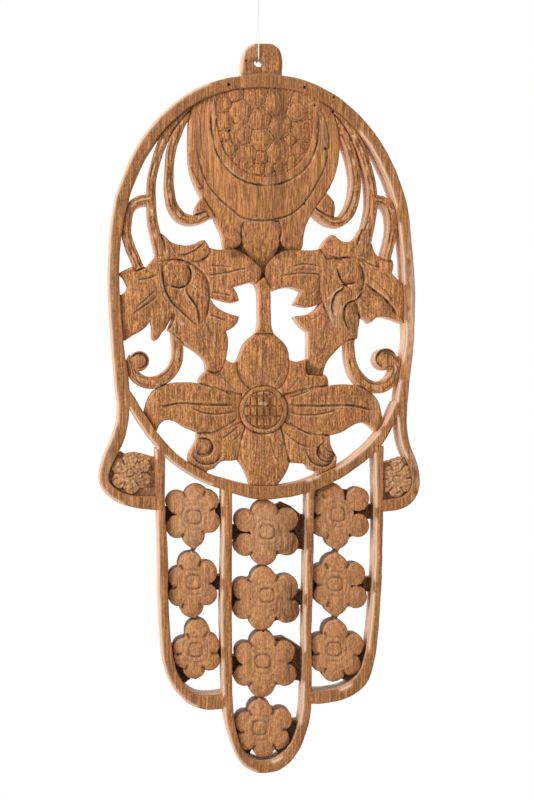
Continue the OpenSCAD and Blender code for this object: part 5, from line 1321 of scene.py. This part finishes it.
def finish_colour(nodes, place, swayed, colour):
    """The colour under bare, paler and lit, sawn and darkened-wall, orange-edged, chipped and highlighted,
    stained and shadowed, and grimy and shaded places; and how much the cuts are darkened.
    """
    def laid(value, strength, over, clamp=True):
        """The colour with another over it, as strongly as a value of the mesh says."""
        share = nodes.maths("MULTIPLY", nodes.value_of(value), strength, clamp=clamp)
        return nodes.blended(share, colour, over)

    # bare gouged wood of the flowers is pinker and duller than the waxed faces
    colour = laid("bare", 0.7, linear("CE9668"), False)
    # paler places and painted highlights
    colour = laid("pale_and_highlight", 0.95, linear("FBDDBE"))
    # side walls: pale sawn wood, brightened to stand for the light they catch, and a darker colour round the
    # flowers
    sawn = nodes.stretched(place, 0.0006, 0.004, Detail=3.0)
    colour = laid("wall", 0.85, nodes.ramp(sawn, (0.3, "E6C29F"), (0.7, "F9E4CF")), False)
    cloud = nodes.noise(place, CLOUD_SCALE, Detail=3.0)
    colour = laid("soot", nodes.maths("MULTIPLY_ADD", cloud, 0.4, 0.8), linear("4A3121"))
    # orange lines along the edges, chipped lips with painted highlights, stains that follow the grain with
    # painted shadows, and dirt with painted shade in the cuts
    colour = laid("worn", 0.7, linear("CF7A38"))
    grit = nodes.noise(place, 1500.0, Detail=2.0)
    chip = nodes.maths("GREATER_THAN", grit, 0.52)
    colour = laid("chip_and_highlight", nodes.maths("MULTIPLY_ADD", chip, 0.55, 0.5), linear("EBC7A0"))
    lines = nodes.stretched(swayed, 0.00075, 0.012, Detail=2.0, Roughness=0.5)
    colour = laid("stain_and_shadow", nodes.mapped(lines, 0.4, 0.62, 0.25, 1.9), linear("74502F"))
    gritty = nodes.maths("MULTIPLY_ADD", grit, 0.7, 0.62)
    dirt_and_shade = nodes.maths("MULTIPLY", nodes.value_of("cut"), gritty, clamp=True)
    return nodes.blended(dirt_and_shade, colour, linear("3A281B")), dirt_and_shade


def cotton():
    """Fine twisted white cotton thread."""
    material = bpy.data.materials.new("twisted_white_cotton_thread")
    nodes = Nodes(material)
    place = nodes.add("ShaderNodeTexCoord").outputs["Object"]
    inputs = {"Vector": place, "Scale": 420.0, "Distortion": 1.5, "Detail": 1.0}
    twist = nodes.add("ShaderNodeTexWave", inputs, bands_direction="DIAGONAL").outputs["Fac"]
    tone = nodes.ramp(twist, (0.0, "FAF6F2"), (1.0, "FFFFFF"))
    bump = nodes.add("ShaderNodeBump", {"Strength": 0.6, "Distance": 0.00008, "Height": twist}).outputs[0]
    inputs = {"Base Color": tone, "Roughness": 0.85, "Normal": bump, "Sheen Weight": 0.3}
    shader = nodes.add("ShaderNodeBsdfPrincipled", inputs)
    nodes.add("ShaderNodeOutputMaterial", {"Surface": shader.outputs[0]})
    return material


_shared = {}


def shared_board():
    """The board's relief, worked out once."""
    if "board" not in _shared:
        _shared["board"] = Board()
    return _shared["board"]


def aimed(name, data, location, target):
    """A camera or lamp at this place, looking at the target."""
    holder = bpy.data.objects.new(name, data)
    bpy.context.scene.collection.objects.link(holder)
    holder.location = location
    holder.rotation_mode = "QUATERNION"
    holder.rotation_quaternion = (target - location).to_track_quat("-Z", "Y")
    return holder


class CarveOperator:
    """What the operators that carve a group of regions have in common.

    gouged: whether the fronts are carved all over. bare: how much of the wood is bare of wax. The last says
    how dark the side walls are coloured.
    """
    bl_options = {"REGISTER"}
    nodes = ()
    gouged = False
    bare = 0.0
    soot = 0.0

    def execute(self, context):
        material = hardwood(context.scene.ornament_finish)
        for name in self.nodes:
            carve(name, shared_board(), context.scene.ornament_carving, material, self)
        return {"FINISHED"}


class ORNAMENT_OT_stage(bpy.types.Operator):
    """Sets the camera, the light from the left and the white surroundings."""
    bl_idname = "ornament.stage"
    bl_label = "Stage"
    bl_options = {"REGISTER"}

    def execute(self, context):
        settings = context.scene.ornament_stage
        camera = bpy.data.cameras.new("photo_camera")
        camera.lens, camera.sensor_width, camera.sensor_fit = settings.camera_lens, settings.sensor, "AUTO"
        camera.clip_start = 0.01
        toward = Vector((math.sin(settings.camera_azimuth), -math.cos(settings.camera_azimuth), 0.0))
        place = TARGET + toward * settings.camera_distance
        context.scene.camera = aimed("photo_camera", camera, place, TARGET)

        window = bpy.data.lights.new("window_light", "AREA")
        window.shape, window.size, window.size_y = "RECTANGLE", WINDOW_WIDTH, WINDOW_HEIGHT
        window.energy, window.color = settings.key_power, WINDOW_COLOUR
        aimed("window_light", window, TARGET + WINDOW_PLACE, TARGET)

        # the light is weak in front of the board and stronger from the backdrop behind it
        context.scene.world = bpy.data.worlds.new("white_surroundings")
        nodes = Nodes(context.scene.world)
        ray = nodes.add("ShaderNodeTexCoord").outputs["Generated"]
        depth = nodes.add("ShaderNodeSeparateXYZ", {"Vector": ray}).outputs["Y"]
        level = nodes.mapped(depth, -0.1, 0.25, settings.fill, settings.backdrop)
        even = nodes.add("ShaderNodeBackground", {"Color": linear("FFFFFF"), "Strength": level})
        white = nodes.add("ShaderNodeBackground", {"Color": linear("FFFFFF"), "Strength": 1.0})
        seen = nodes.add("ShaderNodeLightPath").outputs["Is Camera Ray"]
        both = nodes.add("ShaderNodeMixShader", {0: seen, 1: even.outputs[0], 2: white.outputs[0]})
        nodes.add("ShaderNodeOutputWorld", {"Surface": both.outputs[0]})
        context.scene.view_settings.view_transform = "Standard"
        return {"FINISHED"}


class ORNAMENT_OT_thread(bpy.types.Operator):
    """Hangs the thread through the tab's hole and ties its knot."""
    bl_idname = "ornament.thread"
    bl_label = "Thread"
    bl_options = {"REGISTER"}

    def execute(self, context):
        material = cotton()

        def strand(name, points, diameter):
            """A round strand along these points."""
            curve = bpy.data.curves.new(name, "CURVE")
            curve.dimensions, curve.bevel_depth, curve.bevel_resolution = "3D", diameter / 2, 4
            curve.use_fill_caps = True
            line = curve.splines.new("POLY")
            line.points.add(len(points) - 1)
            for spot, point in zip(line.points, points):
                spot.co = (*point, 1.0)
            curve.materials.append(material)
            made = bpy.data.objects.new(name, curve)
            context.scene.collection.objects.link(made)
            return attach(made, "thread")

        route = [(0.0, y, z) for y, z in THREAD_ROUTE]
        length = sum((Vector(b) - Vector(a)).length for a, b in zip(route, route[1:]))
        tied = [(KNOT_RADIUS * (math.sin(turn) + 1.25 * math.sin(2 * turn)),
                 KNOT_RADIUS * (math.cos(turn) - 1.25 * math.cos(2 * turn)),
                 KNOT_HEIGHT - KNOT_DEPTH * math.sin(3 * turn)) for turn in np.linspace(0, 2 * math.pi, 61)]
        loop = strand("hanging_thread_cotton", route, THREAD_DIAMETER)
        knot = strand("thread_knot_cotton", tied, KNOT_STRAND)
        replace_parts(loop, "hanging_thread")
        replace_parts(knot, "thread_knot")
        return {"FINISHED"}


class ORNAMENT_OT_frame(CarveOperator, bpy.types.Operator):
    """Makes the rim, the hanging tab, the palm's arc and the finger frames, sawn and planed flat."""
    bl_idname = "ornament.frame"
    bl_label = "Frame"
    nodes = FRAME_NODES


class ORNAMENT_OT_fruit(CarveOperator, bpy.types.Operator):
    """Carves the pomegranate: husk, crescent, seeds and calyx."""
    bl_idname = "ornament.fruit"
    bl_label = "Pomegranate"
    nodes = FRUIT_NODES


class ORNAMENT_OT_vines(CarveOperator, bpy.types.Operator):
    """Carves the vines, tendrils and scrolls."""
    bl_idname = "ornament.vines"
    bl_label = "Vines"
    nodes = VINE_NODES
    gouged = True


class ORNAMENT_OT_leaves(CarveOperator, bpy.types.Operator):
    """Carves both sprays of leaves with their buds."""
    bl_idname = "ornament.leaves"
    bl_label = "Leaf Sprays"
    nodes = LEAF_NODES
    gouged = True


class ORNAMENT_OT_lotus(CarveOperator, bpy.types.Operator):
    """Carves the lotus with its stem and boss."""
    bl_idname = "ornament.lotus"
    bl_label = "Lotus"
    nodes = LOTUS_NODES
    gouged = True


class ORNAMENT_OT_rosettes(CarveOperator, bpy.types.Operator):
    """Carves the ten rosettes of the three fingers."""
    bl_idname = "ornament.rosettes"
    bl_label = "Rosettes"
    nodes = ROSETTE_NODES
    gouged = True
    bare = 0.5
    soot = 0.9


class ORNAMENT_OT_thumbs(CarveOperator, bpy.types.Operator):
    """Carves the two thumbs with their worn flowers."""
    bl_idname = "ornament.thumbs"
    bl_label = "Thumbs"
    nodes = THUMB_NODES
    gouged = True
    bare = 0.6
    soot = 0.2


OPERATORS = [ORNAMENT_OT_stage, ORNAMENT_OT_thread, ORNAMENT_OT_frame, ORNAMENT_OT_fruit, ORNAMENT_OT_vines,
             ORNAMENT_OT_leaves, ORNAMENT_OT_lotus, ORNAMENT_OT_rosettes, ORNAMENT_OT_thumbs]


class ORNAMENT_PT_panel(bpy.types.Panel):
    """Lists the settings and the steps in the order in which they are run."""
    bl_idname = "ORNAMENT_PT_panel"
    bl_label = "Hand Ornament"
    bl_space_type = "VIEW_3D"
    bl_region_type = "UI"
    bl_category = "Hand Ornament"

    def draw(self, context):
        scene = context.scene
        for group in (scene.ornament_carving, scene.ornament_finish, scene.ornament_stage):
            for name in group.bl_rna.properties.keys():
                if name not in {"rna_type", "name"}:
                    self.layout.prop(group, name)
        for operator in OPERATORS:
            self.layout.operator(operator.bl_idname)


CLASSES = [CarvingSettings, FinishSettings, StageSettings, *OPERATORS, ORNAMENT_PT_panel]


def register():
    for kind in CLASSES:
        bpy.utils.register_class(kind)
    bpy.types.Scene.ornament_carving = PointerProperty(type=CarvingSettings)
    bpy.types.Scene.ornament_finish = PointerProperty(type=FinishSettings)
    bpy.types.Scene.ornament_stage = PointerProperty(type=StageSettings)


def unregister():
    del bpy.types.Scene.ornament_stage
    del bpy.types.Scene.ornament_finish
    del bpy.types.Scene.ornament_carving
    for kind in reversed(CLASSES):
        bpy.utils.unregister_class(kind)


def main():
    """Runs every step in order."""
    register()
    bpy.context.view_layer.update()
    bpy.ops.ornament.stage()
    bpy.ops.ornament.thread()
    bpy.ops.ornament.frame()
    bpy.ops.ornament.fruit()
    bpy.ops.ornament.vines()
    bpy.ops.ornament.leaves()
    bpy.ops.ornament.lotus()
    bpy.ops.ornament.rosettes()
    bpy.ops.ornament.thumbs()


if __name__ == "__main__":
    main()
